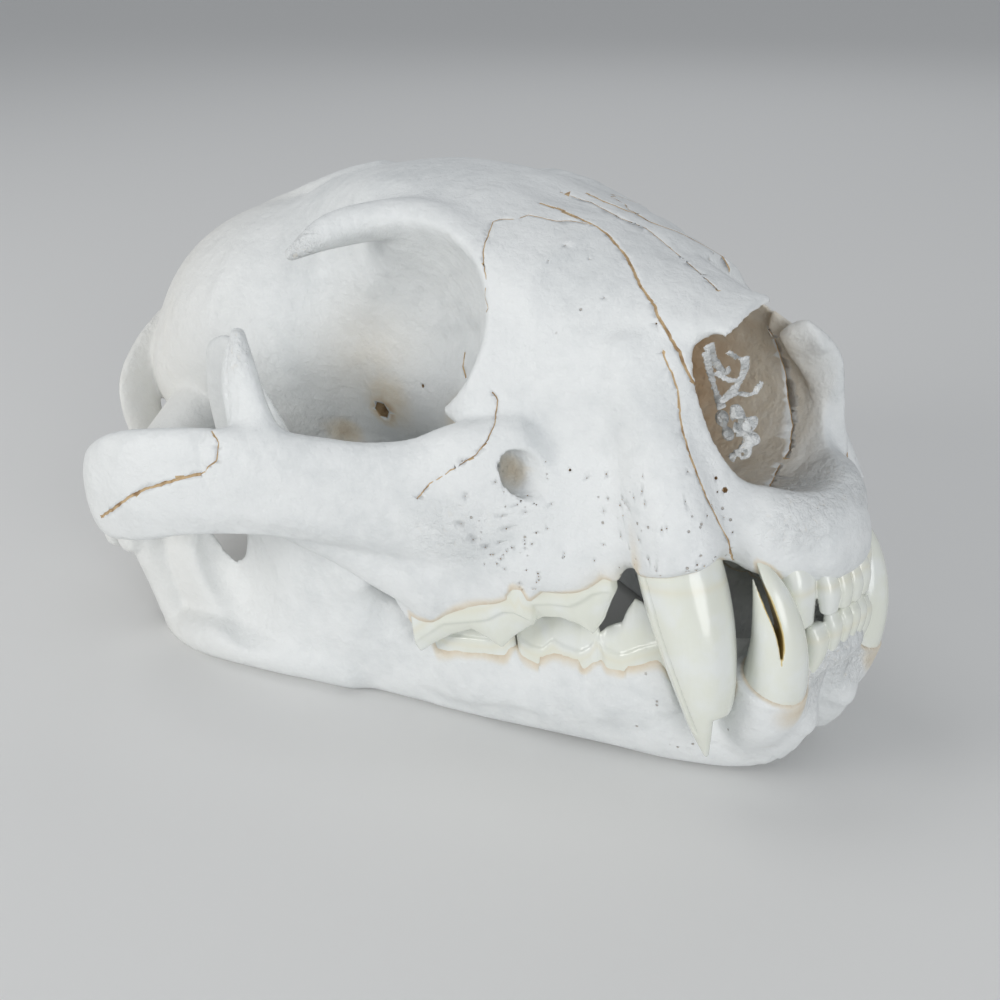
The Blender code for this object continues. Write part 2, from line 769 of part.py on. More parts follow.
def canine_block(path, sizes):
    form = Sweep(path, sizes, facing=(1, 0, 0), cap=1.0)
    block = Block(form.low - 4, form.high + 4, TOOTH_STEP, half=False)
    block.add(form, 1)
    return block


# The right upper canine has lost the front of its tip, and the right lower one is split down to the gum.
# Each cutter is a slanted box: its corners at the top, then at the bottom, in skull millimetres.

LOST_TIP = [
    [(-25.1, -14), (-8.3, -31.2), (2.4, -20.7), (-14.4, -3.5)],
    [(-26.7, -15.6), (-9.9, -32.8), (0.8, -22.3), (-16, -5.1)],
]
LOST_TIP_HEIGHTS = (-24.2, -46)
SPLIT = [
    [(-1.2, -22), (0.8, -24), (-15.6, -7.2), (-17.6, -5.2)],
    [(-3.2, -20), (-2.6, -20.6), (-16.6, -6.2), (-17.2, -5.6)],
]
SPLIT_HEIGHTS = (9, -20.5)


# From blocks to objects


def to_table(points):
    """Skull millimetres to table metres: the nose is raised, and the jaw stands on Z = 0."""
    x, y, z = points.T
    c, s = math.cos(TILT), math.sin(TILT)
    return np.stack([c * x - s * z - MIDDLE, y, s * x + c * z + FLOOR], 1) * MM


def mesh_object(name, collection, points, faces):
    mesh = bpy.data.meshes.new(name)
    mesh.from_pydata(to_table(points).tolist(), [], faces)
    obj = bpy.data.objects.new(name, mesh)
    collection.objects.link(obj)
    return obj


def applied(obj):
    """The object's mesh with its modifiers applied and only its largest closed surface kept."""
    graph = bpy.context.evaluated_depsgraph_get()
    mesh = bpy.data.meshes.new_from_object(obj.evaluated_get(graph))
    obj.modifiers.clear()
    old = obj.data
    obj.data = mesh
    bpy.data.meshes.remove(old)
    keep_largest(mesh)


def make_faces_outward(mesh):
    bm = bmesh.new()
    bm.from_mesh(mesh)
    bmesh.ops.recalc_face_normals(bm, faces=bm.faces)
    bm.to_mesh(mesh)
    bm.free()


def keep_largest(mesh):
    ends = np.empty(len(mesh.edges) * 2, np.int32)
    mesh.edges.foreach_get("vertices", ends)
    ends = ends.reshape(-1, 2)
    label = np.arange(len(mesh.vertices))
    while True:
        lowest = label.copy()
        np.minimum.at(lowest, ends[:, 0], label[ends[:, 1]])
        np.minimum.at(lowest, ends[:, 1], label[ends[:, 0]])
        lowest = lowest[lowest]
        if (lowest == label).all():
            break
        label = lowest
    names, counts = np.unique(label, return_counts=True)
    loose = np.flatnonzero(label != names[counts.argmax()])
    if not len(loose):
        return
    bm = bmesh.new()
    bm.from_mesh(mesh)
    bm.verts.ensure_lookup_table()
    bmesh.ops.delete(bm, geom=[bm.verts[i] for i in loose], context="VERTS")
    bm.to_mesh(mesh)
    bm.free()


def decimated(obj, faces_wanted):
    modifier = obj.modifiers.new("Fewer faces", "DECIMATE")
    modifier.ratio = min(1.0, faces_wanted / sum(len(p.vertices) - 2 for p in obj.data.polygons))
    modifier.use_collapse_triangulate = True
    applied(obj)


def cut_away(obj, cutter):
    modifier = obj.modifiers.new("Cut", "BOOLEAN")
    modifier.operation = "DIFFERENCE"
    modifier.object = cutter
    applied(obj)


def grown_copy(obj, name, collection):
    """A copy whose surface lies the gap outside the object's own."""
    copy = bpy.data.objects.new(name, obj.data.copy())
    collection.objects.link(copy)
    modifier = copy.modifiers.new("Gap", "DISPLACE")
    modifier.strength = GAP * MM
    modifier.mid_level = 0
    applied(copy)
    return copy


def finish(obj, material):
    obj.data.materials.clear()
    obj.data.materials.append(material)
    obj.data.shade_smooth()
    obj.data.set_sharp_from_angle(angle=math.radians(50))


def material(name, colour, roughness):
    made = bpy.data.materials.new(name)
    made.use_nodes = True
    shader = made.node_tree.nodes["Principled BSDF"]
    shader.inputs["Base Color"].default_value = (*colour, 1)
    shader.inputs["Roughness"].default_value = roughness
    shader.inputs["Metallic"].default_value = 0
    return made


def slanted_box(name, collection, outlines, heights):
    corners = [(x, y, z) for outline, z in zip(outlines, heights) for x, y in outline]
    sides = [(i, i + 4, (i + 1) % 4 + 4, (i + 1) % 4) for i in range(4)]
    return mesh_object(name, collection, np.array(corners, float), [(3, 2, 1, 0), (4, 5, 6, 7)] + sides)


def box_object(name, collection, low, high):
    corners = [(x, y, z) for x in (low[0], high[0]) for y in (low[1], high[1]) for z in (low[2], high[2])]
    faces = [(0, 1, 3, 2), (4, 6, 7, 5), (0, 4, 5, 1), (2, 3, 7, 6), (0, 2, 6, 4), (1, 5, 7, 3)]
    mesh = bpy.data.meshes.new(name)
    mesh.from_pydata(corners, [], faces)
    obj = bpy.data.objects.new(name, mesh)
    collection.objects.link(obj)
    return obj


def main():
    for old in list(bpy.data.objects):
        bpy.data.objects.remove(old)
    skull = bpy.data.collections.new("cougar_skull")
    cutters = bpy.data.collections.new("cutters")
    for collection in (skull, cutters):
        bpy.context.scene.collection.children.link(collection)

    bone = material("bone", (0.83, 0.82, 0.79), 0.62)
    jaw_bone = material("jaw_bone", (0.84, 0.83, 0.8), 0.62)
    enamel = material("enamel", (0.82, 0.81, 0.66), 0.25)

    # canines, and a slightly larger copy of each that clears its socket
    sides = {"left": 1, "right": -1}
    sockets = {"upper": [], "lower": []}
    for row, path, sizes in (
        ("upper", UPPER_CANINE_PATH, UPPER_CANINE_SIZES),
        ("lower", LOWER_CANINE_PATH, LOWER_CANINE_SIZES),
    ):
        points, faces = canine_block(path, sizes).surface()
        for side, sign in sides.items():
            tooth = mesh_object(f"{row}_canine_{side}", skull, points * (1, sign, 1), [face[::sign] for face in faces])
            decimated(tooth, CANINE_FACES)
            sockets[row].append(grown_copy(tooth, f"{row}_socket_{side}", cutters))
            finish(tooth, enamel)

    for name, outlines, heights in (
        ("upper_canine_right", LOST_TIP, LOST_TIP_HEIGHTS),
        ("lower_canine_right", SPLIT, SPLIT_HEIGHTS),
    ):
        breakage = slanted_box(f"{name}_break", cutters, outlines, heights)
        make_faces_outward(breakage.data)
        cut_away(bpy.data.objects[name], breakage)

    cranium = mesh_object("cranium", skull, *cranium_block().surface())
    decimated(cranium, CRANIUM_FACES)
    for socket in sockets["upper"] + sockets["lower"]:
        cut_away(cranium, socket)
    finish(cranium, bone)

    # the jaw's two bones meet at the chin
    table = box_object("table", cutters, (-0.2, -0.2, -0.05), (0.2, 0.2, 0))
    points, faces = jaw_block().surface()
    for side, sign in sides.items():
        jaw = mesh_object(f"mandible_{side}", skull, points, faces)
        decimated(jaw, 2 * JAW_FACES)
        inner = sorted((-0.2 * sign, 0.5 * SYMPHYSIS_GAP * MM * sign))
        other_half = box_object(f"other_half_{side}", cutters, (-0.2, inner[0], -0.1), (0.2, inner[1], 0.2))
        for cutter in [other_half, table] + sockets["lower"] + sockets["upper"]:
            cut_away(jaw, cutter)
        finish(jaw, jaw_bone)

    for cutter in list(cutters.objects):
        bpy.data.objects.remove(cutter)
    bpy.data.collections.remove(cutters)


main()
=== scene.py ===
import json
import math
import time

import bmesh
import bpy
import numpy as np
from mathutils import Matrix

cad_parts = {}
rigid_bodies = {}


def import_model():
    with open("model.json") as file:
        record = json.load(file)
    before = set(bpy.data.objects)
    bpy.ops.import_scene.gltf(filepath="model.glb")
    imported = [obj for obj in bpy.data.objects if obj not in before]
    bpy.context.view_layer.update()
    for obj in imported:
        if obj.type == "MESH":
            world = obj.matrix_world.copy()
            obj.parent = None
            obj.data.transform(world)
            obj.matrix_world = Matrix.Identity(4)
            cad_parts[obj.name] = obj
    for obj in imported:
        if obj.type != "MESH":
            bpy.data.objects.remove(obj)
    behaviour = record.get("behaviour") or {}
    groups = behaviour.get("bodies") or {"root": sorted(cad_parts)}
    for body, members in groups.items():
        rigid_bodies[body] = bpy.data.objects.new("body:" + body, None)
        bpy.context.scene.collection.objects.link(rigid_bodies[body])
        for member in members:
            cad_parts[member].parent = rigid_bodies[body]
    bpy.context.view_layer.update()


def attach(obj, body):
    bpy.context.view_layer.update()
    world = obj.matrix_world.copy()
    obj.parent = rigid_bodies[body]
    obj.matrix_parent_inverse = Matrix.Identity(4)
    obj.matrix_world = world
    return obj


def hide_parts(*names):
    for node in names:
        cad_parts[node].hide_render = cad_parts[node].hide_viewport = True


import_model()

import openvdb
from mathutils import Matrix, Vector
from mathutils.bvhtree import BVHTree

# Cougar skull with its lower jaw. Bones are sculpted as level sets in the skull's own frame, in millimetres:
# x forwards, y left, z up, origin at the gum between the first incisors. place() then lays them on the table.
# The left half is described and mirrored, but for the nose bones and the two damaged right canines.

started = time.time()
pose = {"noseUp": 10.77, "floorBelow": 47.2, "middle": -95.25}
mm, perMetre = 0.001, 1000
far = 30.0

# Samples of the level sets in mm, and the triangles left on the big pieces

root = "root"
grain = {"cranium": 0.66, "jaw": 0.6, "teeth": 0.32}
most = {"cranium": 165000, "jaw": 110000}


def say(what):
    print(f"{time.time() - started:6.1f} s  {what}")


def place(points):
    x, y, z = np.asarray(points, float).reshape(-1, 3).T
    c, s = math.cos(math.radians(pose["noseUp"])), math.sin(math.radians(pose["noseUp"]))
    return np.stack([c * x - s * z - pose["middle"], y, s * x + c * z + pose["floorBelow"]], 1) * mm


def unplace(points):  # from the table back to the skull's frame
    x, y, z = (np.asarray(points, float).reshape(-1, 3) * perMetre).T
    x, z = x + pose["middle"], z - pose["floorBelow"]
    c, s = math.cos(math.radians(pose["noseUp"])), math.sin(math.radians(pose["noseUp"]))
    return np.stack([c * x + s * z, y, c * z - s * x], 1)


# The photo's camera in the skull's frame: angles in degrees, place in mm, and the photo's width in pixels

view = {
    "yaw": 134.293,
    "down": 24.070,
    "roll": -0.196,
    "x": 104.778,
    "y": -197.459,
    "z": 107.244,
    "lens": 47.698,
    "sensor": 36,
    "pixels": 1000,
}


def cameraAxes():
    yaw, down, roll = (math.radians(view[n]) for n in ("yaw", "down", "roll"))
    forward = Vector((math.cos(yaw) * math.cos(down), math.sin(yaw) * math.cos(down), -math.sin(down)))
    right = Vector((math.sin(yaw), -math.cos(yaw), 0))
    up = right.cross(forward)
    right, up = math.cos(roll) * right + math.sin(roll) * up, math.cos(roll) * up - math.sin(roll) * right
    eye = Vector((view["x"] - pose["middle"], view["y"], view["z"] + pose["floorBelow"])) * mm
    return eye, right, up, forward


def sightLine(px, py):  # from the camera through a place in the photo
    eye, right, up, forward = cameraAxes()
    middle, reach = view["pixels"] / 2, view["lens"] / view["sensor"] * view["pixels"]
    return eye, (forward + right * ((px - middle) / reach) + up * ((middle - py) / reach)).normalized()


# Level sets


def smoothMin(a, b, seam):
    h = np.maximum(seam - np.abs(a - b), 0.0) / seam
    return np.minimum(a, b) - h * h * h * seam / 6.0


def spline(rows, count):
    p = np.asarray(rows, float)
    if len(p) == 2:
        return p[0] + (p[1] - p[0]) * np.linspace(0, 1, count)[:, None]
    steps = np.maximum(np.linalg.norm(np.diff(p[:, :3], axis=0), axis=1), 1e-3) ** 0.5
    t = np.r_[0, np.cumsum(steps)]
    ends = np.vstack([2 * p[0] - p[1], p, 2 * p[-1] - p[-2]])
    times = np.r_[-steps[0], t, t[-1] + steps[-1]]
    out = []
    for u in np.linspace(0, t[-1], count):
        i = min(max(np.searchsorted(t, u, side="right"), 1), len(p) - 1)
        t0, t1, t2, t3 = times[i - 1 : i + 3]
        p0, p1, p2, p3 = ends[i - 1 : i + 3]
        a1 = (t1 - u) / (t1 - t0) * p0 + (u - t0) / (t1 - t0) * p1
        a2 = (t2 - u) / (t2 - t1) * p1 + (u - t1) / (t2 - t1) * p2
        a3 = (t3 - u) / (t3 - t2) * p2 + (u - t2) / (t3 - t2) * p3
        b1 = (t2 - u) / (t2 - t0) * a1 + (u - t0) / (t2 - t0) * a2
        b2 = (t3 - u) / (t3 - t1) * a2 + (u - t1) / (t3 - t1) * a3
        out.append((t2 - u) / (t2 - t1) * b1 + (u - t1) / (t2 - t1) * b2)
    return np.array(out)


class Ball:  # centre, three radii, turn about x, y and z in degrees
    def __init__(self, centre, radii, turn=(0, 0, 0)):
        self.centre = np.array(centre, np.float32)
        self.radii = np.array(radii, np.float32)
        x, y, z = (Matrix.Rotation(math.radians(a), 3, n) for a, n in zip(turn, "XYZ"))
        self.turn = np.array(z @ y @ x, np.float32)
        reach = np.sqrt(((self.turn * self.radii) ** 2).sum(1))
        self.low, self.high = self.centre - reach, self.centre + reach

    def level(self, x, y, z):
        d = [x - self.centre[0], y - self.centre[1], z - self.centre[2]]
        total = 0
        for i in range(3):
            total = total + (sum(d[j] * self.turn[j, i] for j in range(3)) / self.radii[i]) ** 2
        return np.sqrt(total) - 1


class Sweep:  # an oval along a smooth path. Rows: x, y, z, half height along facing, half width
    def __init__(self, rows, facing=(0, 0, 1), power=2.0, cap=None, count=48):
        rows = spline(rows, count)
        self.path = rows[:, :3].astype(np.float32)
        self.highHalf = np.maximum(rows[:, 3], 0.05).astype(np.float32)
        self.wideHalf = np.maximum(rows[:, 4], 0.05).astype(np.float32)
        along = np.gradient(rows[:, :3], axis=0)
        self.step = np.linalg.norm(along, axis=1).astype(np.float32)
        self.along = (along / self.step[:, None]).astype(np.float32)
        up = np.broadcast_to(np.asarray(facing, np.float32), self.path.shape)
        up = up - (up * self.along).sum(1)[:, None] * self.along
        self.up = up / np.linalg.norm(up, axis=1)[:, None]
        self.side = np.cross(self.along, self.up)
        self.power, self.cap = power, cap
        reach = np.maximum(self.highHalf, self.wideHalf)[:, None]
        self.low, self.high = (self.path - reach).min(0), (self.path + reach).max(0)

    def level(self, x, y, z):
        shape = np.broadcast(x, y, z).shape
        best = np.full(shape, 1e9, np.float32)
        near = np.zeros(shape, np.int16)
        for i, p in enumerate(self.path):
            d = (x - p[0]) ** 2 + (y - p[1]) ** 2 + (z - p[2]) ** 2
            closer = d < best
            np.copyto(near, i, where=closer)
            np.copyto(best, d, where=closer)
        d = [x - self.path[near, 0], y - self.path[near, 1], z - self.path[near, 2]]
        ahead = sum(d[j] * self.along[near, j] for j in range(3))
        rise = sum(d[j] * self.up[near, j] for j in range(3))
        out = sum(d[j] * self.side[near, j] for j in range(3))
        last = len(self.path) - 1
        index = np.clip(near + ahead / self.step[near], 0, last)
        floor = np.minimum(index.astype(np.int16), last - 1)
        part = index - floor
        high = self.highHalf[floor] * (1 - part) + self.highHalf[floor + 1] * part
        wide = self.wideHalf[floor] * (1 - part) + self.wideHalf[floor + 1] * part
        pastEnd = ((near == 0) & (ahead < 0)) | ((near == last) & (ahead > 0))
        over = np.where(pastEnd, np.abs(ahead), 0) / (self.cap or np.minimum(high, wide))
        if self.power == 2:
            return np.sqrt((rise / high) ** 2 + (out / wide) ** 2 + over**2) - 1
        total = np.abs(rise / high) ** self.power + np.abs(out / wide) ** self.power + over**self.power
        return total ** (1 / self.power) - 1


class Hull:  # across both sides. Rows: x, lowest z, highest z, half width at foot, middle and top
    roundEnd = 3.4

    def __init__(self, stations, power):
        self.rows = np.array(sorted(stations), float)
        self.curve = spline(self.rows, 160)
        self.power = power
        self.low = np.array([self.rows[0, 0], -self.rows[:, 3:].max(), self.rows[:, 1].min()])
        self.high = np.array([self.rows[-1, 0], self.rows[:, 3:].max(), self.rows[:, 2].max()])

    def level(self, x, y, z):
        low, high, foot, middle, top = (
            np.interp(x, self.curve[:, 0], self.curve[:, j]).astype(np.float32) for j in range(1, 6)
        )
        t = (2 * z - low - high) / (high - low)
        wide = middle + (np.where(t < 0, foot, top) - middle) * np.clip(t, -1, 1) ** 2
        over = np.maximum(np.maximum(self.rows[0, 0] - x, x - self.rows[-1, 0]), 0) / self.roundEnd
        total = np.abs(y / wide) ** self.power + np.abs(t) ** self.power + over**self.power
        return total ** (1 / self.power) - 1


class Blade:  # a cheek tooth, full for band mm. Rows: x, middle line y, gum, cutting edge, half width
    foot, waist, lip, seam = 6.0, 0.74, 0.32, 0.7

    def __init__(self, rows, band):
        self.rows, self.band = np.array(sorted(rows), float), band
        self.up = 1.0 if self.rows[:, 3].mean() > self.rows[:, 2].mean() else -1.0
        reach = self.rows[:, 4].max() + 1
        depth = (self.rows[:, 2] - self.up * self.foot).tolist() + self.rows[:, 3].tolist()
        self.low = np.array([self.rows[0, 0] - 1, self.rows[:, 1].min() - reach, min(depth) - 1])
        self.high = np.array([self.rows[-1, 0] + 1, self.rows[:, 1].max() + reach, max(depth) + 1])

    def level(self, x, y, z):
        middle, gum, edge, half = (
            np.interp(x, self.rows[:, 0], self.rows[:, j]).astype(np.float32) for j in range(1, 5)
        )
        high = (z - gum) * self.up
        tall = np.maximum((edge - gum) * self.up, 0.5)
        below = np.clip((high - self.band) / 0.9, 0, 1)
        waist = 1 - (1 - self.waist) * below * below * (3 - 2 * below)
        run = np.clip((high - self.band) / np.maximum(tall - self.band, 0.4), 0, 1)
        wide = half * waist * (1 - run**1.7) + self.lip * np.minimum(half, 1.0) * run
        wide = wide * (1 - 0.22 * np.clip(-high / self.foot, 0, 1) ** 2)
        side = np.abs(y - middle) - wide
        ends = np.maximum(self.rows[0, 0] - x, x - self.rows[-1, 0])
        level = -smoothMin(-side, tall - high, self.seam)
        level = -smoothMin(-level, high + self.foot, self.seam)
        return -smoothMin(-level, -ends, self.seam)


class Planes:  # the space behind all of these planes, each a point on it and its outward direction
    seam = 0.5

    def __init__(self, planes, low, high):
        self.planes = [(np.array(p, float), np.array(n, float) / np.linalg.norm(n)) for p, n in planes]
        self.low, self.high = np.array(low, float), np.array(high, float)

    def level(self, x, y, z):
        level = None
        for point, out in self.planes:
            d = (x - point[0]) * out[0] + (y - point[1]) * out[1] + (z - point[2]) * out[2]
            level = d if level is None else -smoothMin(-level, -d, self.seam)
        return level.astype(np.float32)


class Block:  # signed distances in a box; with half it holds y from 0 outwards until whole() mirrors it
    def __init__(self, low, high, step, half=True):
        self.step, self.half = step, half
        low = (low[0], -2 * step, low[2]) if half else low
        self.axes = [np.arange(a, b + step, step).astype(np.float32) for a, b in zip(low, high)]
        self.d = np.full([len(a) for a in self.axes], far, np.float32)

    def whole(self):
        core = self.d[:, 2:, :]
        self.d = np.concatenate([core[:, :0:-1, :], core], axis=1)
        side = core.shape[1] - 1
        self.axes[1] = (np.arange(-side, side + 1) * self.step).astype(np.float32)
        self.half = False

    def near(self, form, seam):
        room = max(6.0, seam + 2)
        window = []
        for axis, low, high in zip(self.axes, form.low, form.high):
            i, j = np.searchsorted(axis, [low - room, high + room])
            window.append(slice(max(i - 1, 0), j + 1))
        grid = (self.axes[i][window[i]].reshape([-1 if k == i else 1 for k in range(3)]) for i in range(3))
        level = form.level(*grid)
        slope = np.sqrt(sum(g**2 for g in np.gradient(level, self.step)))
        distance = np.clip(level / np.maximum(slope, 0.004), -far, far)
        return tuple(window), distance.astype(np.float32)

    def add(self, form, seam):
        window, distance = self.near(form, seam)
        self.d[window] = smoothMin(self.d[window], distance, seam)

    def cut(self, form, seam):
        window, distance = self.near(form, seam)
        self.d[window] = -smoothMin(-self.d[window], distance, seam)

    def soften(self, low, high, passes):
        window = tuple(slice(*np.searchsorted(axis, (a, b))) for axis, a, b in zip(self.axes, low, high))
        d = self.d[window]
        for _ in range(passes):
            inner = d[1:-1, 1:-1, 1:-1]
            around = d[2:, 1:-1, 1:-1] + d[:-2, 1:-1, 1:-1] + d[1:-1, 2:, 1:-1] + d[1:-1, :-2, 1:-1]
            inner += (around + d[1:-1, 1:-1, 2:] + d[1:-1, 1:-1, :-2] - 6 * inner) / 8

    def surface(self):
        if self.half:
            self.whole()
        start = [a[0] for a in self.axes]
        d = np.pad(np.clip(self.d, -3 * self.step, 3 * self.step), 1, constant_values=3 * self.step)
        grid = openvdb.FloatGrid(3 * self.step)
        grid.copyFromArray(np.ascontiguousarray(d))
        points, triangles, quads = grid.convertToPolygons(0.0, 0.0)
        return points * self.step + np.array(start) - self.step, quads.tolist() + triangles.tolist()


# Turning blocks into pieces


def meshFrom(name, points, faces):
    mesh = bpy.data.meshes.new(name)
    mesh.from_pydata(place(points).tolist(), [], faces)
    return mesh


def addPiece(name, mesh, material):
    piece = bpy.data.objects.new(name, mesh)
    bpy.context.scene.collection.objects.link(piece)
    mesh.materials.append(material)
    return piece


def bake(piece):  # apply what is on it, as one plain mesh
    graph = bpy.context.evaluated_depsgraph_get()
    grown = piece.evaluated_get(graph)
    mesh = bpy.data.meshes.new_from_object(grown, preserve_all_data_layers=True, depsgraph=graph)
    piece.modifiers.clear()
    old, piece.data = piece.data, mesh
    bpy.data.meshes.remove(old)
    mesh.name = piece.name


def thin(piece, triangles):
    count = sum(len(p.vertices) - 2 for p in piece.data.polygons)
    if count > triangles:
        fewer = piece.modifiers.new("fewer", "DECIMATE")
        fewer.ratio = triangles / count
        bake(piece)


def largestPart(mesh):  # drops crumbs that the cutting left loose
    ends = np.empty(len(mesh.edges) * 2, np.int32)
    mesh.edges.foreach_get("vertices", ends)
    ends = ends.reshape(-1, 2)
    label = np.arange(len(mesh.vertices))
    while True:
        lowest = label.copy()
        np.minimum.at(lowest, ends[:, 0], label[ends[:, 1]])
        np.minimum.at(lowest, ends[:, 1], label[ends[:, 0]])
        lowest = lowest[lowest]
        if (lowest == label).all():
            break
        label = lowest
    names, counts = np.unique(label, return_counts=True)
    loose = np.flatnonzero(label != names[counts.argmax()])
    if len(loose):
        bm = bmesh.new()
        bm.from_mesh(mesh)
        bm.verts.ensure_lookup_table()
        bmesh.ops.delete(bm, geom=[bm.verts[i] for i in loose], context="VERTS")
        bm.to_mesh(mesh)
        bm.free()


def pointsOf(mesh):
    co = np.empty(len(mesh.vertices) * 3, np.float32)
    mesh.vertices.foreach_get("co", co)
    return co.reshape(-1, 3)


def treeOf(mesh):
    return BVHTree.FromPolygons([v.co for v in mesh.vertices], [p.vertices for p in mesh.polygons])


def paint(mesh, name, values):
    layer = mesh.attributes.get(name) or mesh.attributes.new(name, "FLOAT", "POINT")
    layer.data.foreach_set("value", np.ascontiguousarray(np.clip(values, 0, 1), np.float32))


def painted(mesh, name):
    values = np.empty(len(mesh.vertices), np.float32)
    mesh.attributes[name].data.foreach_get("value", values)
    return values


def spot(p, centre, radii, soft):  # 1 inside an ellipsoid, fading to 0 at its edge
    level = Ball(centre, radii).level(p[:, 0], np.abs(p[:, 1]), p[:, 2])
    return np.clip(-level / soft, 0, 1)


def ramp(values, low, high):  # 0 up to low, 1 from high on
    return np.clip((values - low) / (high - low), 0, 1)


# Node trees, written as sums


class Value:
    def __init__(self, tree, socket):
        self.tree, self.socket = tree, socket

    def do(self, operation, a, b):
        return self.tree.node("ShaderNodeMath", {"operation": operation}, {0: a, 1: b})

    def __add__(self, other):
        return self.do("ADD", self, other)

    def __sub__(self, other):
        return self.do("SUBTRACT", self, other)

    def __rsub__(self, other):
        return self.do("SUBTRACT", other, self)

    def __mul__(self, other):
        return self.do("MULTIPLY", self, other)

    __radd__, __rmul__ = __add__, __mul__

    def step(self, low, high):  # 0 at low, 1 at high, smooth between
        settings = {"interpolation_type": "SMOOTHSTEP"}
        return self.tree.node("ShaderNodeMapRange", settings, {0: self, 1: low, 2: high, 3: 0.0, 4: 1.0})


class Tree:
    def __init__(self, nodeTree):
        self.nodes, self.links = nodeTree.nodes, nodeTree.links

    def node(self, kind, settings=None, inputs=None, output=0):
        made = self.nodes.new(kind)
        for name, value in (settings or {}).items():
            if name == "stops":
                self.setStops(made.color_ramp, value)
            else:
                setattr(made, name, value)
        for name, value in (inputs or {}).items():
            if isinstance(value, Value):
                self.links.new(value.socket, made.inputs[name])
            else:
                made.inputs[name].default_value = value
        return Value(self, made.outputs[output])

    def setStops(self, ramp, stops):
        while len(ramp.elements) < len(stops):
            ramp.elements.new(0.5)
        for element, (position, colour) in zip(ramp.elements, stops):
            element.position = position
            element.color = (*colour, 1)

    def mix(self, a, b, factor):
        a, b = (c if isinstance(c, Value) else (*c, 1) for c in (a, b))
        return self.node("ShaderNodeMix", {"data_type": "RGBA"}, {0: factor, 6: a, 7: b}, 2)

    def attribute(self, name):
        return self.node("ShaderNodeAttribute", {"attribute_name": name}, output="Fac")

    def relief(self, look, height):
        inputs = {"Strength": look["reliefStrength"], "Distance": look["reliefDepth"], "Height": height}
        return self.node("ShaderNodeBump", None, inputs, "Normal")


def newMaterial(name):
    material = bpy.data.materials.new(name)
    material.use_nodes = True
    return material, Tree(material.node_tree), material.node_tree.nodes["Principled BSDF"]


def connect(tree, shader, **inputs):
    names = {"baseColor": "Base Color", "roughness": "Roughness", "normal": "Normal", "coat": "Coat Weight"}
    for name, value in inputs.items():
        socket = shader.inputs[names[name]]
        if isinstance(value, Value):
            tree.links.new(value.socket, socket)
        else:
            socket.default_value = value


boneLook = {
    "white": (0.79, 0.81, 0.81),
    "shade": (0.67, 0.695, 0.70),
    "cream": (0.74, 0.68, 0.57),
    "tan": (0.56, 0.40, 0.245),
    "brown": (0.27, 0.155, 0.07),
    # The pore colour is painted shade inside the pin holes.
    "poreShade": (0.42, 0.37, 0.31),
    "roughness": 0.44,
    "reliefStrength": 0.7,
    "reliefDepth": 0.0014,
}


def makeBone(name, look):
    material, tree, shader = newMaterial(name)
    where = tree.node("ShaderNodeTexCoord", output="Object")
    warm, rough, pores = (tree.attribute(n) for n in ("warm", "rough", "pores"))

    def noise(scale, detail, roughness=0.5, distortion=0.0):
        inputs = {"Vector": where, "Scale": scale, "Detail": detail}
        inputs |= {"Roughness": roughness, "Distortion": distortion}
        return tree.node("ShaderNodeTexNoise", None, inputs)

    clouds, mottle, wrinkle, dust = noise(45, 4), noise(260, 5, 0.6), noise(700, 4, 0.6, 0.6), noise(2600, 3)
    base = tree.mix(look["white"], look["shade"], (clouds * 0.8 + mottle * 0.4).step(0.52, 0.86))
    heat = warm + (mottle - 0.5) * 0.34 * warm.step(0.02, 0.3)
    stops = [(0.0, look["white"]), (0.28, look["cream"]), (0.62, look["tan"]), (1.0, look["brown"])]
    toned = tree.node("ShaderNodeValToRGB", {"stops": stops}, {0: heat})
    base = tree.mix(base, toned, warm.step(0.0, 0.22))
    cells = {"Vector": where, "Scale": 720.0}
    gap = tree.node("ShaderNodeTexVoronoi", None, cells, "Distance")
    cell = tree.node("ShaderNodeTexVoronoi", None, cells, "Color")
    pick = tree.node("ShaderNodeSeparateColor", None, {0: cell})
    # The pores' pin holes are painted dark as their shade, sunk by the bump and made rougher.
    pitAndShade = (0.24 - gap).step(0.0, 0.14) * (pick - (1 - 0.3 * pores)).step(0.0, 0.02) * pores.step(0.02, 0.2)
    base = tree.mix(base, look["poreShade"], pitAndShade * 0.75)
    base = tree.mix(base, look["cream"], rough * wrinkle.step(0.42, 0.3) * 0.55)
    lump = noise(150, 3, 0.5)
    height = wrinkle * (0.2 + 1.5 * rough) + dust * 0.05 + mottle * (0.3 + 1.4 * rough)
    bump = tree.relief(look, height + lump * 0.9 - pitAndShade * 0.5)
    connect(tree, shader, baseColor=base, roughness=look["roughness"] + mottle * 0.2 + pitAndShade * 0.2, normal=bump)
    return material


enamelLook = {
    "crown": (0.765, 0.785, 0.705),
    "tip": (0.79, 0.815, 0.785),
    "neck": (0.76, 0.73, 0.58),
    "dentine": (0.66, 0.53, 0.24),
    "roughness": 0.17,
    "coat": 0.35,
    "reliefStrength": 0.35,
    "reliefDepth": 0.0006,
}


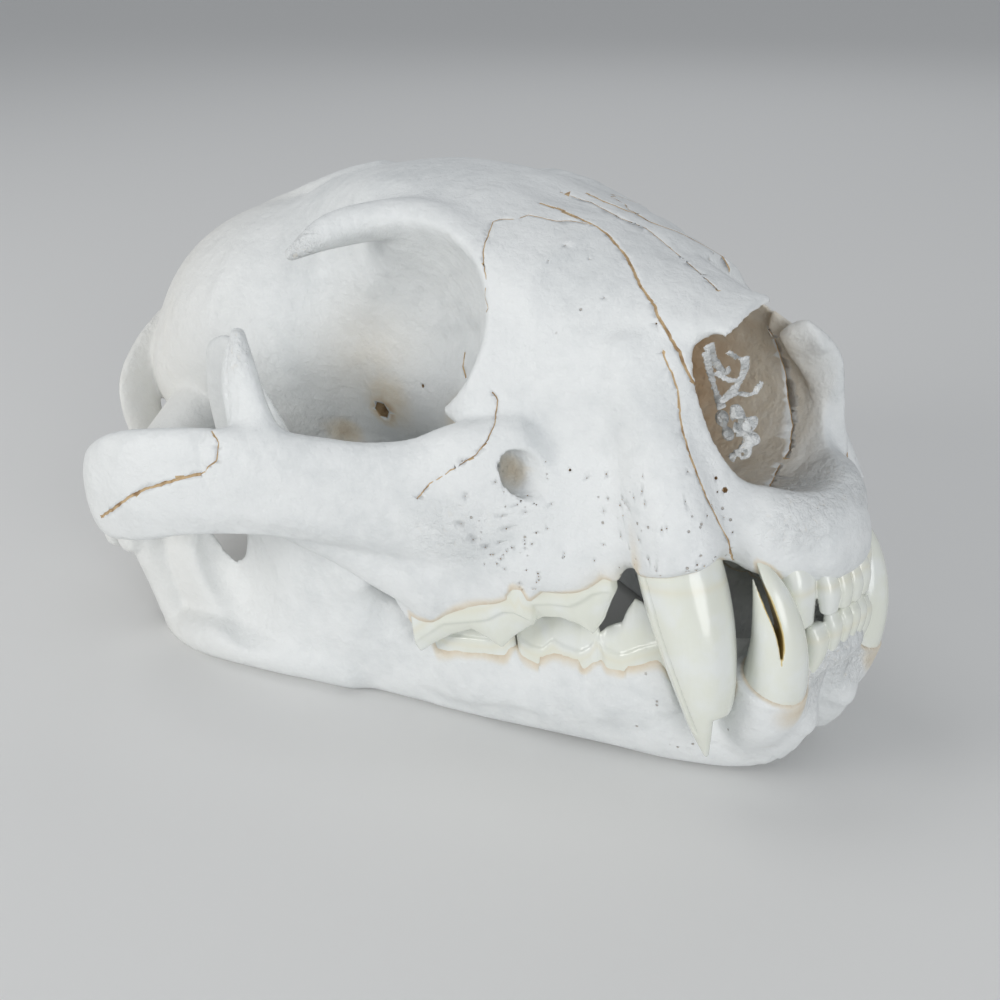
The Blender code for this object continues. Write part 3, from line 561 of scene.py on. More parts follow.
def makeEnamel(name, look):
    material, tree, shader = newMaterial(name)
    where = tree.node("ShaderNodeTexCoord", output="Object")
    neck, worn = tree.attribute("neck"), tree.attribute("dentine")
    streak = tree.node("ShaderNodeMapping", None, {"Vector": where, "Scale": (1.0, 1.0, 0.12)})
    lines = tree.node("ShaderNodeTexNoise", None, {"Vector": streak, "Scale": 900.0, "Detail": 3.0})
    cloud = tree.node("ShaderNodeTexNoise", None, {"Vector": where, "Scale": 140.0, "Detail": 4.0})
    base = tree.mix(look["crown"], look["tip"], cloud.step(0.4, 0.7))
    base = tree.mix(base, look["neck"], (neck + (cloud - 0.5) * 0.5 * neck).step(0.1, 1.0) * 0.8)
    base = tree.mix(base, look["dentine"], worn.step(0.3, 0.8))
    roughness = look["roughness"] + cloud * 0.12 + worn * 0.3
    bump = tree.relief(look, lines * 0.25 + cloud * 0.3)
    connect(tree, shader, baseColor=base, roughness=roughness, normal=bump, coat=look["coat"])
    return material


bone = makeBone("bone", boneLook)
enamel = makeEnamel("enamel", enamelLook)
say("materials made")

# Teeth. Cheek teeth: x, middle line y, gum, cutting edge, half width. Incisors: x, y, half width, gum, edge.
# Canines: x, y, z, half length, half width.

cheekTeeth = {
    "upper": [
        [
            (-75.0, 41.7, -13.2, -15.8, 0.6), (-73.9, 41.7, -12.0, -16.9, 1.4),
            (-70.5, 40.9, -9.9, -14.8, 1.9), (-66.1, 39.6, -7.2, -12.5, 2.2),
            (-61.2, 38.1, -6.5, -11.0, 2.2), (-58.2, 37.0, -6.0, -12.9, 2.6),
            (-55.8, 36.1, -5.4, -14.7, 3.0), (-52.5, 35.2, -3.7, -11.8, 2.9),
            (-50.0, 34.9, -3.5, -10.2, 2.7), (-47.6, 34.9, -4.4, -8.9, 2.1),
            (-46.4, 35.2, -5.4, -7.4, 0.7),
        ],
        [
            (-49.3, 34.4, -4.7, -7.6, 0.7), (-48.2, 34.4, -3.2, -8.6, 2.1),
            (-46.2, 33.2, -1.9, -7.6, 2.5), (-43.4, 31.4, -2.1, -7.9, 2.3),
            (-40.4, 29.4, -2.6, -9.6, 2.8), (-38.6, 28.1, -1.9, -11.7, 2.9),
            (-36.5, 27.0, -0.4, -8.8, 2.6), (-34.8, 26.5, 0.0, -5.2, 2.1),
            (-33.2, 26.6, -0.1, -2.9, 1.1),
        ],
    ],
    "lower": [
        [
            (-74.5, 37.6, -13.0, -11.0, 0.7), (-72.5, 37.2, -14.4, -6.6, 1.7),
            (-69.5, 36.2, -15.6, -3.0, 2.2), (-65.2, 35.0, -15.6, -7.2, 2.3),
            (-60.5, 33.4, -15.8, -3.6, 2.3), (-57.6, 32.5, -15.4, -7.6, 1.6),
            (-56.4, 32.2, -14.4, -10.5, 0.7),
        ],
        [
            (-55.9, 31.3, -14.3, -11.8, 0.8), (-54.6, 30.7, -15.8, -10.3, 1.8),
            (-52.4, 29.3, -17.3, -8.9, 2.3), (-50.4, 28.8, -17.6, -9.8, 2.2),
            (-48.1, 27.9, -15.7, -8.6, 2.1), (-46.2, 26.7, -17.0, -5.4, 2.6),
            (-43.4, 25.3, -18.2, -9.0, 2.6), (-41.2, 24.9, -17.0, -9.6, 2.2),
            (-39.7, 25.4, -15.2, -11.6, 1.0),
        ],
        [
            (-39.9, 25.1, -14.8, -12.8, 0.8), (-38.1, 24.5, -16.9, -11.3, 1.9),
            (-36.4, 23.7, -17.8, -10.5, 2.0), (-35.3, 23.3, -18.0, -10.3, 2.0),
            (-34.0, 22.7, -17.7, -7.6, 2.3), (-32.4, 22.1, -16.9, -5.5, 2.5),
            (-31.0, 21.6, -16.3, -6.2, 2.5), (-29.4, 21.2, -15.8, -8.0, 2.2),
            (-27.5, 20.9, -15.2, -11.2, 1.9), (-25.2, 20.9, -14.6, -13.3, 1.0),
        ],
    ],
}
gumBand = {"upper": 2.0, "lower": 1.2}
incisors = {
    "upper": [(-0.7, 1.75, 1.75, -3.6, -8.9), (-1.4, 5.3, 1.95, -3.1, -8.9), (-5.0, 9.7, 3.0, -0.6, -10.6)],
    "lower": [(-1.0, 1.4, 1.4, -13.4, -9.5), (-1.7, 4.3, 1.6, -14.1, -9.5), (-3.2, 7.6, 2.05, -15.6, -11.0)],
}
upperCanine = {
    "rows": [
        (-25.0, 21.3, 18, 6.4, 5.6), (-23.0, 21.7, 10, 7.4, 6.6), (-20.4, 22.3, 0, 8.2, 7.2),
        (-18.0, 23.2, -10, 7.5, 6.7), (-16.9, 23.6, -20, 5.8, 5.1), (-17.6, 23.2, -28, 3.5, 3.1),
        (-18.4, 22.9, -34, 0.9, 0.8),
    ],
    "box": ((-36, 12, -38), (-8, 34, 22)),
    "gum": 0.5,
    # the right one is broken short, and a groove parts a strip from its back
    "tipBreak": [((-14, 23, -25.0), (0.06, 0, 1)), ((-17.0, 22.9, -28), (-0.716, 0.698, 0.10))],
    "tipBox": ((-40, 8, -40), (0, 40, -18)),
    "strip": [
        (-24.4, 28.6, 4, 0.42, 0.42), (-23.2, 29.1, 0, 0.42, 0.42), (-20.5, 29.5, -10, 0.42, 0.42),
        (-18.4, 28.6, -20, 0.42, 0.42), (-17.9, 26.4, -28, 0.42, 0.42),
    ],
}
lowerCanine = {
    "rows": [
        (-14.9, 12, -32, 4.8, 4.2), (-12.9, 12.5, -28.5, 5.6, 5), (-9.6, 13.3, -23, 6.2, 5.4),
        (-6.5, 14.3, -13, 5.3, 4.7), (-6.5, 15.1, -4, 3.7, 3.3), (-8.9, 15.7, 4.5, 0.8, 0.8),
    ],
    "box": ((-24, 4, -38), (2, 24, 8)),
    "gum": -24.0,
    # the right one is split from its tip downwards
    "crack": [
        (-9.5, 16.7, 6, 0.62, 9), (-8.7, 16.3, 1, 0.68, 9), (-7.2, 15.7, -5, 0.72, 9),
        (-6.0, 15.3, -10.5, 0.5, 9), (-6.5, 15.2, -15, 0.14, 3), (-7.4, 15.2, -20, 0.1, 2),
    ],
}


def addSockets(block, name, lift, tall, spare, seam):  # bone that holds the cheek teeth up to their gum line
    for teeth in cheekTeeth[name]:
        rows = [(x, y, gum + lift, tall, half + spare) for x, y, gum, edge, half in teeth[::2]]
        block.add(Sweep(rows, power=2.6, cap=1.6, count=40), seam)


def addIncisor(block, x, y, half, gum, edge):  # a small crown on a root that leans back
    up = 1 if edge > gum else -1
    rows = [
        (x - 2.6, y, gum - 6 * up, 0.8 * half, 0.7 * half),
        (x, y, gum, 0.95 * half, 0.98 * half),
        (x + 0.25, y, gum + 2.2 * up, 1.0 * half, 1.1 * half),
        (x + 0.1, y, edge - 0.6 * up, 0.72 * half, 1.0 * half),
    ]
    block.add(Sweep(rows, facing=(1, 0, 0), power=2.6, cap=1.0, count=24), 0.15)


def addTooth(name, block, gumLine, flip=False):  # the gum line as points of x and z
    points, faces = block.surface()
    if flip:
        faces = [face[::-1] for face in faces]
    mesh = meshFrom(name, points * (1, -1 if flip else 1, 1), faces)
    gum = np.interp(points[:, 0], *np.array(gumLine, float).T)
    paint(mesh, "neck", np.clip(1 - np.abs(points[:, 2] - gum) / 2.0, 0, 1) * 0.6)
    piece = addPiece(name, mesh, enamel)
    mesh.shade_smooth()
    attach(piece, root)
    return piece


def makeTeeth():
    for name, teeth in cheekTeeth.items():
        rows = np.array(sorted(sum(teeth, [])), float)
        low, high = rows.min(0), rows.max(0)
        corner = (low[0] - 4, low[1] - 6, min(low[2], low[3]) - 8)
        opposite = (high[0] + 4, high[1] + 6, max(high[2], high[3]) + 8)
        block = Block(corner, opposite, grain["teeth"], half=False)
        for tooth in teeth:
            block.add(Blade(tooth, gumBand[name]), 0.01)
        for side, flip in (("left", False), ("right", True)):
            addTooth(f"cheekTeeth_{name}_{side}", block, rows[:, [0, 2]], flip)
        block = Block((-12, 0, -26), (6, 18, 8), grain["teeth"] * 0.8)
        for tooth in incisors[name]:
            addIncisor(block, *tooth)
        addTooth(f"incisors_{name}", block, [(0, incisors[name][0][3])])


def canine(spec):
    block = Block(*spec["box"], grain["teeth"], half=False)
    block.add(Sweep(spec["rows"], facing=(1, 0, 0), cap=0.8, count=60), 0.5)
    return block


def makeCanines():
    upperGum, lowerGum = [(0, upperCanine["gum"])], [(0, lowerCanine["gum"])]
    pieces = {
        "upper_canine_left": addTooth("upperCanineLeft", canine(upperCanine), upperGum),
        "lower_canine_left": addTooth("lowerCanineLeft", canine(lowerCanine), lowerGum),
    }
    block = canine(upperCanine)
    block.cut(Planes(upperCanine["tipBreak"], *upperCanine["tipBox"]), 2.0)
    block.cut(Sweep(upperCanine["strip"], cap=0.4, count=60), 0.3)
    pieces["upper_canine_right"] = addTooth("upperCanineRight", block, upperGum, True)
    block = canine(lowerCanine)
    split = Sweep(lowerCanine["crack"], facing=(0.716, -0.698, 0), count=60)
    block.cut(split, 0.2)
    pieces["lower_canine_right"] = tooth = addTooth("lowerCanineRight", block, lowerGum, True)
    p = unplace(pointsOf(tooth.data))
    inside = split.level(p[:, 0], -p[:, 1], p[:, 2])
    paint(tooth.data, "dentine", np.clip((0.5 - inside) * 3, 0, 1) * np.clip((1 - p[:, 2]) / 4, 0, 1))
    for node, piece in pieces.items():
        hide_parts(node)


# Cranium

craniumForms = {
    # across both sides: x, lowest z, highest z, half width at foot, middle and top
    "face": [
        (-1.6, -3, 9, 8, 7.5, 6), (-4, -3, 13, 12.5, 12, 10), (-8, -2.5, 16, 17.5, 16.5, 13.5),
        (-11.5, 0, 20, 24, 18.5, 16), (-13.5, 1, 28, 25, 18.5, 16.5), (-15.5, 1.6, 36, 26, 19, 17),
        (-18, 1.8, 44, 27, 20, 17.5), (-22, 1.6, 50.5, 28, 22, 18), (-30, 0.4, 54.5, 30, 24.5, 19),
        (-38, -1, 59, 32, 27, 20.5), (-48, -3, 62.5, 36, 30, 22.5), (-57, -4, 65.5, 40, 34, 25),
        (-66, -5, 67.5, 40, 34, 25),
    ],
    "noseBones": [
        (-14.5, 37, 48, 11, 12.5, 8), (-20, 38, 49.8, 14, 15.5, 11), (-28, 38, 53, 18, 18, 14),
        (-38, 38, 58, 20, 20, 16),
    ],
    "forehead": [
        (-48, 40, 62, 22, 25, 20), (-57, 42, 65.8, 22, 26, 23), (-66, 42, 70, 20, 25, 24),
        (-76, 40, 73.4, 18, 23, 25), (-86, 38, 75.6, 17, 22, 27), (-98, 36, 77.2, 17, 20, 29),
        (-112, 34, 77, 18, 20, 22), (-126, 30, 75.3, 22, 24, 18), (-136, 30, 71, 24, 28, 20),
    ],
    "orbitWalls": [
        (-52, -2, 50, 33, 28, 22), (-62, -3, 50, 33, 23, 18), (-72, -2, 50, 32, 20, 17),
        (-80, 4, 50, 20, 18, 17), (-90, 10, 50, 14, 17, 17), (-104, 13, 50, 14, 17, 17),
        (-118, 12, 50, 16, 19, 19), (-134, 12, 50, 22, 26, 26),
    ],
    "skullFloor": [
        (-96, 8, 30, 10, 12, 14), (-120, 8, 30, 14, 16, 18), (-140, 7, 30, 20, 26, 30),
        (-160, 8, 30, 26, 32, 34), (-180, 10, 30, 18, 26, 28),
    ],
    "cheeks": [
        (-22, 1.2, 24, 27, 26, 23), (-34, -0.2, 25, 30.5, 28.5, 25), (-44, -2.7, 27, 35, 33.5, 30),
        (-54, -4.9, 29, 39.2, 38.5, 34), (-64, -7.6, 27, 42.8, 42.5, 38),
        (-72, -10.8, 20, 43.6, 43, 39), (-76, -9.5, 12, 41, 40, 36),
    ],
    # along a path: x, y, z, half height, half width
    "brow": [
        (-60, 22, 58, 4, 4), (-70, 21, 64, 4, 4), (-79, 21.5, 67, 4, 4.5), (-88, 25, 67.5, 4, 5),
        (-95, 31.5, 66.5, 3.4, 4.4), (-99.5, 37.5, 63.5, 1.4, 2.0),
    ],
    "crest": [
        (-112, 0, 75, 3, 3), (-126, 0, 73, 4, 3), (-143, 0, 69, 5, 2.6), (-161, 0, 64, 5.5, 2.4),
        (-176, 0, 58, 5.5, 2.6), (-185, 0, 53, 4, 3),
    ],
    "backCrest": [
        (-184.5, 0, 52, 3.2, 4), (-183.5, 10, 49.5, 3, 4), (-181, 20, 45, 2.6, 4.2),
        (-178.5, 29, 39.5, 2.4, 4.8), (-176.5, 35.5, 32, 2.3, 5.2), (-174.5, 36.5, 22, 3, 5),
        (-170, 35, 12, 4, 5),
    ],
    "earProcess": [(-178, 38, 16, 5, 6), (-176, 37, 6, 4, 4), (-174.5, 36, 0, 2, 2)],
    "throatPlate": [
        (-78, 12, 6, 6, 1.6), (-90, 11.5, 7, 7, 1.4), (-104, 11.5, 8, 7, 1.4), (-114, 12, 8, 4, 1.3),
    ],
    "hook": [(-110, 12, 6, 2, 1.3), (-115, 12.5, 0, 1.5, 1.1), (-118, 13, -2.5, 1, 1)],
    "canineSwelling": [
        (-19.4, 22.4, 4, 9.4, 8.0), (-21.8, 22, 14, 8.8, 6.8), (-26, 19.8, 28, 7, 5.6),
        (-31, 18.5, 42, 4, 4),
    ],
    "arch": [
        (-47, 31, 19, 12, 5), (-56, 36, 17.5, 13.5, 6), (-66, 41, 16, 12.5, 5.5),
        (-76, 47, 17.5, 10.8, 5), (-87, 54.5, 20.5, 10.5, 4.6), (-99, 62, 22.6, 10.8, 4),
        (-111, 68, 23.2, 11.2, 3.6), (-123, 71.4, 22, 11.6, 3.5), (-134, 71.4, 19.6, 10, 3.6),
        (-142, 66, 18, 8, 5), (-148, 57, 16.5, 7, 7), (-152, 46, 18, 7.5, 8), (-154, 34, 22, 10, 10),
    ],
    "archRoot": [
        (-66, 40, -2, 7.4, 4), (-75, 43.2, 3, 7.6, 4), (-84, 47.8, 9.6, 7.2, 4), (-93, 54, 15, 6, 4),
    ],
    "muscleMark": [
        (-80, 55.5, 7, 3.2, 3), (-88, 61.8, 9.6, 4.6, 4.2), (-99, 69, 11.6, 4.8, 4.4),
        (-111, 75, 12.4, 4.8, 4.6), (-122, 78, 12, 3, 3),
    ],
    "archPoint": [
        (-97, 56.5, 26, 10, 3.4), (-100, 55.5, 36, 7.4, 2.8), (-101.4, 53.8, 44, 4.8, 2.4),
        (-101.8, 52.4, 50, 1.8, 1.5),
    ],
    "hingeShelf": [(-156.5, 41, 4, 7, 3), (-156.5, 50, 3, 7, 3), (-155.5, 60, 6, 5, 3)],
    "socket": [
        (-62, 72, 68, 30, 30), (-71, 52, 57, 25, 26), (-77.5, 39, 49.5, 21.5, 23.5),
        (-87, 31, 45, 18, 19), (-99, 27, 42, 14, 12), (-113, 28, 41, 4, 3),
    ],
    "temporalGap": [(-92, 34, 12, 30, 13), (-100, 38, 14, 34, 16), (-112, 44, 14, 34, 20)],
    "browGroove": [
        (-16, 0, 52.5, 3, 5), (-30, 0, 58.5, 3, 5), (-44, 0, 66.5, 3, 5), (-58, 0, 71, 4, 7),
        (-68, 0, 76.5, 4, 8), (-80, 0, 81, 4, 9),
    ],
    "nose": [
        (4, 0, 28, 15.5, 16.5), (-10, 0, 28.5, 16.2, 16.8), (-16, 0, 29.5, 17, 16.8),
        (-26, 0, 31, 18, 17), (-40, 0, 34, 18, 16), (-62, 0, 38, 11, 10),
    ],
    "nerveCanal": [
        (-40, 34.0, 20.6, 4.7, 2.6), (-53, 35.2, 22.4, 4.5, 2.5), (-62, 35.4, 24.5, 5, 4),
        (-71, 35, 27, 7, 7),
    ],
    "throat": [(-80, 0, 9, 5.5, 9), (-96, 0, 9, 6, 9.5), (-116, 0, 6, 5, 9.5)],
    "lowerToothRoom": [
        (-20, 17, -6, 7, 5), (-38, 25, -6.5, 7.5, 5), (-56, 31.5, -7.5, 8, 5.2),
        (-76, 35.5, -9, 9, 5.2),
    ],
    "hingeHollow": [(-149, 37, 3.5, 5.2, 5.2), (-149, 64, 4, 5.2, 5.2)],
    "incisorLip": [
        (-3.4, 0, 0.4, 3.6, 2.9), (-3.8, 4, 0.6, 3.6, 2.9), (-6.2, 8.4, 2.0, 3.6, 3.1),
        (-9.2, 12.8, 4.4, 3.2, 3),
    ],
    "incisorWall": [
        (-2.2, 0, 4.6, 7, 3.6), (-2.9, 3.6, 4.9, 7, 3.6), (-5.2, 8, 6, 7, 3.8), (-9.0, 12.4, 8, 7, 4.2),
    ],
    "leftNoseBone": [
        (-20, 13.5, 42, 5.5, 1.5), (-14.5, 14, 39.5, 4.2, 1.3), (-10.6, 13, 35.6, 1.0, 0.8),
    ],
    "leftNoseRim": [
        (-14.5, 10.5, 39, 3.6, 1.3), (-13.4, 13.6, 35, 4.4, 1.5), (-13.0, 16.2, 31, 4.2, 1.5),
        (-13.0, 17.8, 26, 3.2, 1.5), (-13.6, 18.2, 20, 3.2, 1.7), (-13, 17.8, 14, 3, 2),
    ],
    # rounded: centre, radii, turn
    "braincase": ((-146, 0, 41), (42, 36, 31)),
    "braincaseBack": ((-164, 0, 34), (22, 35, 24)),
    "earCapsule": ((-164, 24, 11), (16, 10, 12.5), (0, 8, -18)),
    "neckJoint": ((-183, 14, 21), (8, 8.5, 9.5), (0, 20, -25)),
    "lowerCanineRoom": ((-8.2, 20.6, -2.2), (6.9, 7.6, 9.6)),
    "palate": ((-50, 0, -9), (46, 29, 10), (0, -2, 0)),
    "neckOpening": ((-190, 0, 27), (10, 9.5, 8.5)),
    "faceHollow": ((-33, 47, 49), (22, 22, 22)),
    "rightNoseNotch": ((-14.6, -15.4, 42.0), (3.6, 3.4, 3.6)),
    # planes that the left nose bone ends on: a point and the way out, and the box they count in
    "leftNoseEdge": (((-13.3, 0, 46.6), (-0.463, -0.501, -0.731)), ((-12, 0.6, 46), (0, -1, 0.1))),
    "leftNoseBox": ((-24, 0, 33), (-2, 22, 54)),
    # smoothed after shaping: the box and how often
    "softOrbit": ((-128, 8, 0), (-84, 40, 62), 12),
}


def buildCranium(step):
    form = craniumForms
    b = Block((-200, 0, -20), (9, 84, 88), step)
    b.add(Hull(form["face"], 2.9), 2)
    b.add(Hull(form["noseBones"], 2.4), 2)
    b.add(Hull(form["forehead"], 2.5), 6)
    b.add(Hull(form["orbitWalls"], 2.6), 5)
    b.add(Ball(*form["braincase"]), 8)
    b.add(Ball(*form["braincaseBack"]), 8)
    b.add(Sweep(form["brow"], cap=1.5), 5)
    b.add(Sweep(form["crest"], cap=2), 4)
    b.add(Sweep(form["backCrest"], facing=(1, 0, 0), cap=2), 5)
    b.add(Hull(form["skullFloor"], 3), 4)
    b.add(Ball(*form["earCapsule"]), 2)
    b.add(Sweep(form["earProcess"], facing=(1, 0, 0)), 3)
    b.add(Ball(*form["neckJoint"]), 3)
    b.add(Sweep(form["throatPlate"]), 2)
    b.add(Sweep(form["hook"], facing=(1, 0, 0)), 1.5)
    b.add(Hull(form["cheeks"], 4.5), 4)
    b.add(Sweep(form["canineSwelling"], facing=(1, 0, 0), cap=2), 4)
    b.add(Sweep(form["arch"], power=2.3, count=72), 4)
    b.add(Sweep(form["archRoot"], cap=2), 3)
    b.cut(Sweep(form["muscleMark"], cap=6), 1.2)
    b.add(Sweep(form["archPoint"], facing=(1, 0, 0), cap=1.5), 5)
    b.add(Sweep(form["hingeShelf"]), 3)
    # openings and hollows
    b.cut(Sweep(form["socket"]), 2.5)
    b.cut(Sweep(form["temporalGap"], cap=8), 4)
    b.cut(Ball(*form["lowerCanineRoom"]), 3)
    b.cut(Sweep(form["browGroove"]), 3)
    b.cut(Sweep(form["nose"], power=2.3), 1.5)
    b.cut(Sweep(form["nerveCanal"], count=24), 1.2)
    b.cut(Sweep(form["throat"], power=2.6), 1.5)
    b.cut(Ball(*form["palate"]), 3)
    b.cut(Sweep(form["lowerToothRoom"]), 1.5)
    b.cut(Ball(*form["neckOpening"]), 2)
    b.cut(Ball(*form["faceHollow"]), 4)
    b.soften(*form["softOrbit"])
    b.cut(Sweep(form["hingeHollow"]), 1)
    addSockets(b, "upper", lift=4.8, tall=5.2, spare=0.7, seam=3)
    b.add(Sweep(form["incisorLip"]), 2.5)
    b.add(Sweep(form["incisorWall"]), 5)
    # from here the two sides differ
    b.whole()
    b.add(Sweep(form["leftNoseBone"], cap=0.8), 1.5)
    b.cut(Planes(form["leftNoseEdge"], *form["leftNoseBox"]), 0.8)
    b.cut(Ball(*form["rightNoseNotch"]), 0.6)
    b.add(Sweep(form["leftNoseRim"], facing=(1, 0.5, 0), cap=1.5), 3)
    return b


# What colours the cranium. Stains: strength, reach in mm, place in the photo. Spots: centre, radii, softness,
# strength.

stains = [
    (0.8, 5, 384, 410), (0.3, 12, 388, 398), (0.16, 26, 372, 360), (0.4, 5, 512, 470), (0.4, 7, 345, 432),
]
roughSpots = [
    ((-7, 4, 9), (9, 14, 7), 0.6, 1.0),
    ((-98, 36, 64), (7, 7, 6), 0.8, 1.0),
    ((-101, 53, 46), (6, 6, 10), 0.8, 0.6),
    ((-60, 41, 12), (16, 9, 9), 0.8, 0.35),
]
poreSpots = [
    ((-22, 25, 12), (18, 12, 16), 0.8, 1.0),
    ((-50, 36, 12), (22, 12, 16), 0.8, 0.7),
    ((-38, 18, 48), (24, 16, 18), 0.8, 0.2),
]


def dressCranium(mesh):
    surface = treeOf(mesh)
    p = unplace(pointsOf(mesh))
    x, y, z = p.T
    inNose = Sweep(np.array(craniumForms["nose"]) + (0, 0, 0, 1.2, 1.2), power=2.3).level(x, y, z)
    nose = np.clip(-inNose * 14, 0, 1) * ramp(-x, 6, 20) * (0.24 + 0.5 * ramp(-x, 24, 50))
    orbit = 0.7 * spot(p, (-72, 24, 22), (18, 13, 13), 0.9)
    for strength, reach, px, py in stains:
        hit = surface.ray_cast(*sightLine(px, py))[0]
        if hit:
            at = unplace([hit])[0] * (1, -1, 1)
            orbit = np.maximum(orbit, strength * spot(p, at, (reach, reach, reach), 0.9))
    under = 0.22 * ramp(-z, -6, 2) * ramp(-np.abs(y), -34, -29) * (x < -20)
    back = 0.12 * ramp(-x, 100, 160)
    paint(mesh, "warm", np.maximum.reduce([nose, orbit, under, back]))
    rough = [spot(p, *place) * strength for *place, strength in roughSpots]
    paint(mesh, "rough", np.maximum.reduce(rough + [ramp(-x, 176, 184) * 0.7]))
    paint(mesh, "pores", np.maximum.reduce([spot(p, *place) * strength for *place, strength in poreSpots]))


# Seams between the bones, traced from the photo: half width in mm, then places in the photo. Pits have one
# place each. Pores are strewn where the bone is spongy.

seams = {
    "noseMaxilla": (0.3, [
        (540, 203), (561, 210), (596, 226), (606, 233), (626, 256), (640, 285), (654, 306), (666, 331),
        (679, 352), (692, 382), (705, 396),
    ]),
    "frontal": (0.13, [
        (595, 225), (571, 221), (556, 221), (529, 215), (517, 219), (501, 219), (493, 222), (485, 244),
        (483, 260), (486, 279), (485, 297), (488, 308), (481, 324), (479, 338), (484, 359), (485, 368),
    ]),
    "tear": (0.28, [(465, 352), (463, 366), (467, 382), (467, 394)]),
    "premaxilla": (0.2, [
        (663, 352), (671, 372), (678, 390), (682, 430), (690, 455), (703, 490), (712, 510), (728, 540),
        (733, 560),
    ]),
    "cheek": (0.14, [
        (492, 392), (498, 400), (495, 423), (488, 439), (476, 455), (453, 469), (430, 483), (417, 499),
    ]),
    "archJoint": (0.34, [
        (101, 517), (115, 508), (126, 499), (145, 489), (163, 484), (176, 480), (201, 474),
    ]),
    "archFront": (0.16, [(201, 474), (216, 461), (219, 443), (212, 431)]),
    "betweenNoseBones": (0.12, [
        (560, 192), (592, 203), (620, 218), (646, 228), (685, 260), (719, 291),
    ]),
    "innerNose": (0.16, [
        (767, 326), (775, 340), (786, 375), (788, 400), (793, 425), (790, 450), (780, 465), (768, 490),
    ]),
}
pits = [
    (2.3, 382, 410), (0.45, 423, 386), (0.35, 645, 712), (0.5, 725, 490), (0.35, 258, 634),
    (0.3, 716, 478), (0.3, 742, 575), (0.3, 570, 470),
]
oneSided = ("betweenNoseBones", "innerNose")
seamLook = {"fill": (0.60, 0.45, 0.27), "deep": (0.33, 0.21, 0.11)}
seamCut = {"everyPixels": 4, "jump": 0.006, "spacing": 0.0004, "jag": 0.0011, "seed": 3.0, "touch": 0.00002}
pitCut = {"above": 0.0004, "below": 0.0002, "deep": 0.0005, "deeper": 0.002, "jag": 0.00008, "seed": 5.0}
pores = {"count": 240, "half": (0.06, 0.17), "seed": 11}


def makeSeamFill():
    material, tree, shader = newMaterial("seamFill")
    where = tree.node("ShaderNodeTexCoord", output="Object")
    cloud = tree.node("ShaderNodeTexNoise", None, {"Vector": where, "Scale": 500.0, "Detail": 4.0})
    base = tree.mix(seamLook["fill"], seamLook["deep"], cloud.step(0.45, 0.75))
    connect(tree, shader, baseColor=base, roughness=0.8)
    return material


seamFill = makeSeamFill()


def seamNodes():  # a line of points made into a crooked tube
    group = bpy.data.node_groups.new("seam", "GeometryNodeTree")
    new = group.interface.new_socket
    new("Geometry", in_out="INPUT", socket_type="NodeSocketGeometry")
    names = ("spacing", "jag", "seed")
    sockets = {n: new(n, in_out="INPUT", socket_type="NodeSocketFloat") for n in names}
    new("Geometry", in_out="OUTPUT", socket_type="NodeSocketGeometry")
    tree = Tree(group)
    start = tree.node("NodeGroupInput")
    given = {n: Value(tree, start.socket.node.outputs[n]) for n in names}
    line = tree.node("GeometryNodeMeshToCurve", None, {0: start})
    inputs = {"Curve": line, "Length": given["spacing"]}
    line = tree.node("GeometryNodeResampleCurve", {"mode": "LENGTH"}, inputs)
    where = tree.node("GeometryNodeInputPosition")
    shake = None
    for scale, share in ((420.0, 0.65), (1300.0, 0.35)):
        inputs = {"Vector": where, "W": given["seed"], "Scale": scale, "Detail": 2.0}
        noise = tree.node("ShaderNodeTexNoise", {"noise_dimensions": "4D"}, inputs, "Color")
        offset = tree.node("ShaderNodeVectorMath", {"operation": "SUBTRACT"}, {0: noise, 1: (0.5, 0.5, 0.5)})
        inputs = {0: offset, "Scale": given["jag"] * share}
        offset = tree.node("ShaderNodeVectorMath", {"operation": "SCALE"}, inputs)
        shake = offset if shake is None else tree.node("ShaderNodeVectorMath", None, {0: shake, 1: offset})
    line = tree.node("GeometryNodeSetPosition", None, {"Geometry": line, "Offset": shake})
    half = tree.node("GeometryNodeInputNamedAttribute", {"data_type": "FLOAT"}, {"Name": "half"})
    swell = tree.node("ShaderNodeTexNoise", None, {"Vector": where, "Scale": 500.0, "Detail": 2.0})
    inputs = {"Resolution": 6, "Radius": 1.0}
    profile = tree.node("GeometryNodeCurvePrimitiveCircle", {"mode": "RADIUS"}, inputs)
    wide = half * (0.45 + swell * 1.1)
    inputs = {"Curve": line, "Profile Curve": profile, "Scale": wide, "Fill Caps": True}
    tube = tree.node("GeometryNodeCurveToMesh", None, inputs)
    tube = tree.node("GeometryNodeRealizeInstances", None, {0: tube})
    tube = tree.node("GeometryNodeSetMaterial", None, {"Geometry": tube, "Material": seamFill})
    end = group.nodes.new("NodeGroupOutput")
    tree.links.new(tube.socket, end.inputs[0])
    return group, sockets


def trace(surface, path):  # places in the photo, taken every few pixels, where they meet the bone
    found = []
    for (x0, y0), (x1, y1) in zip(path, path[1:]):
        steps = max(1, round(math.hypot(x1 - x0, y1 - y0) / seamCut["everyPixels"]))
        for i in range(steps + (x1 == path[-1][0] and y1 == path[-1][1])):
            hit = surface.ray_cast(*sightLine(x0 + (x1 - x0) * i / steps, y0 + (y1 - y0) * i / steps))[0]
            if hit and (not found or (hit - found[-1]).length < seamCut["jump"]):
                found.append(hit)
    return found


def mirrored(surface, points):
    return [surface.find_nearest(Vector((p.x, -p.y, p.z)))[0] for p in points]


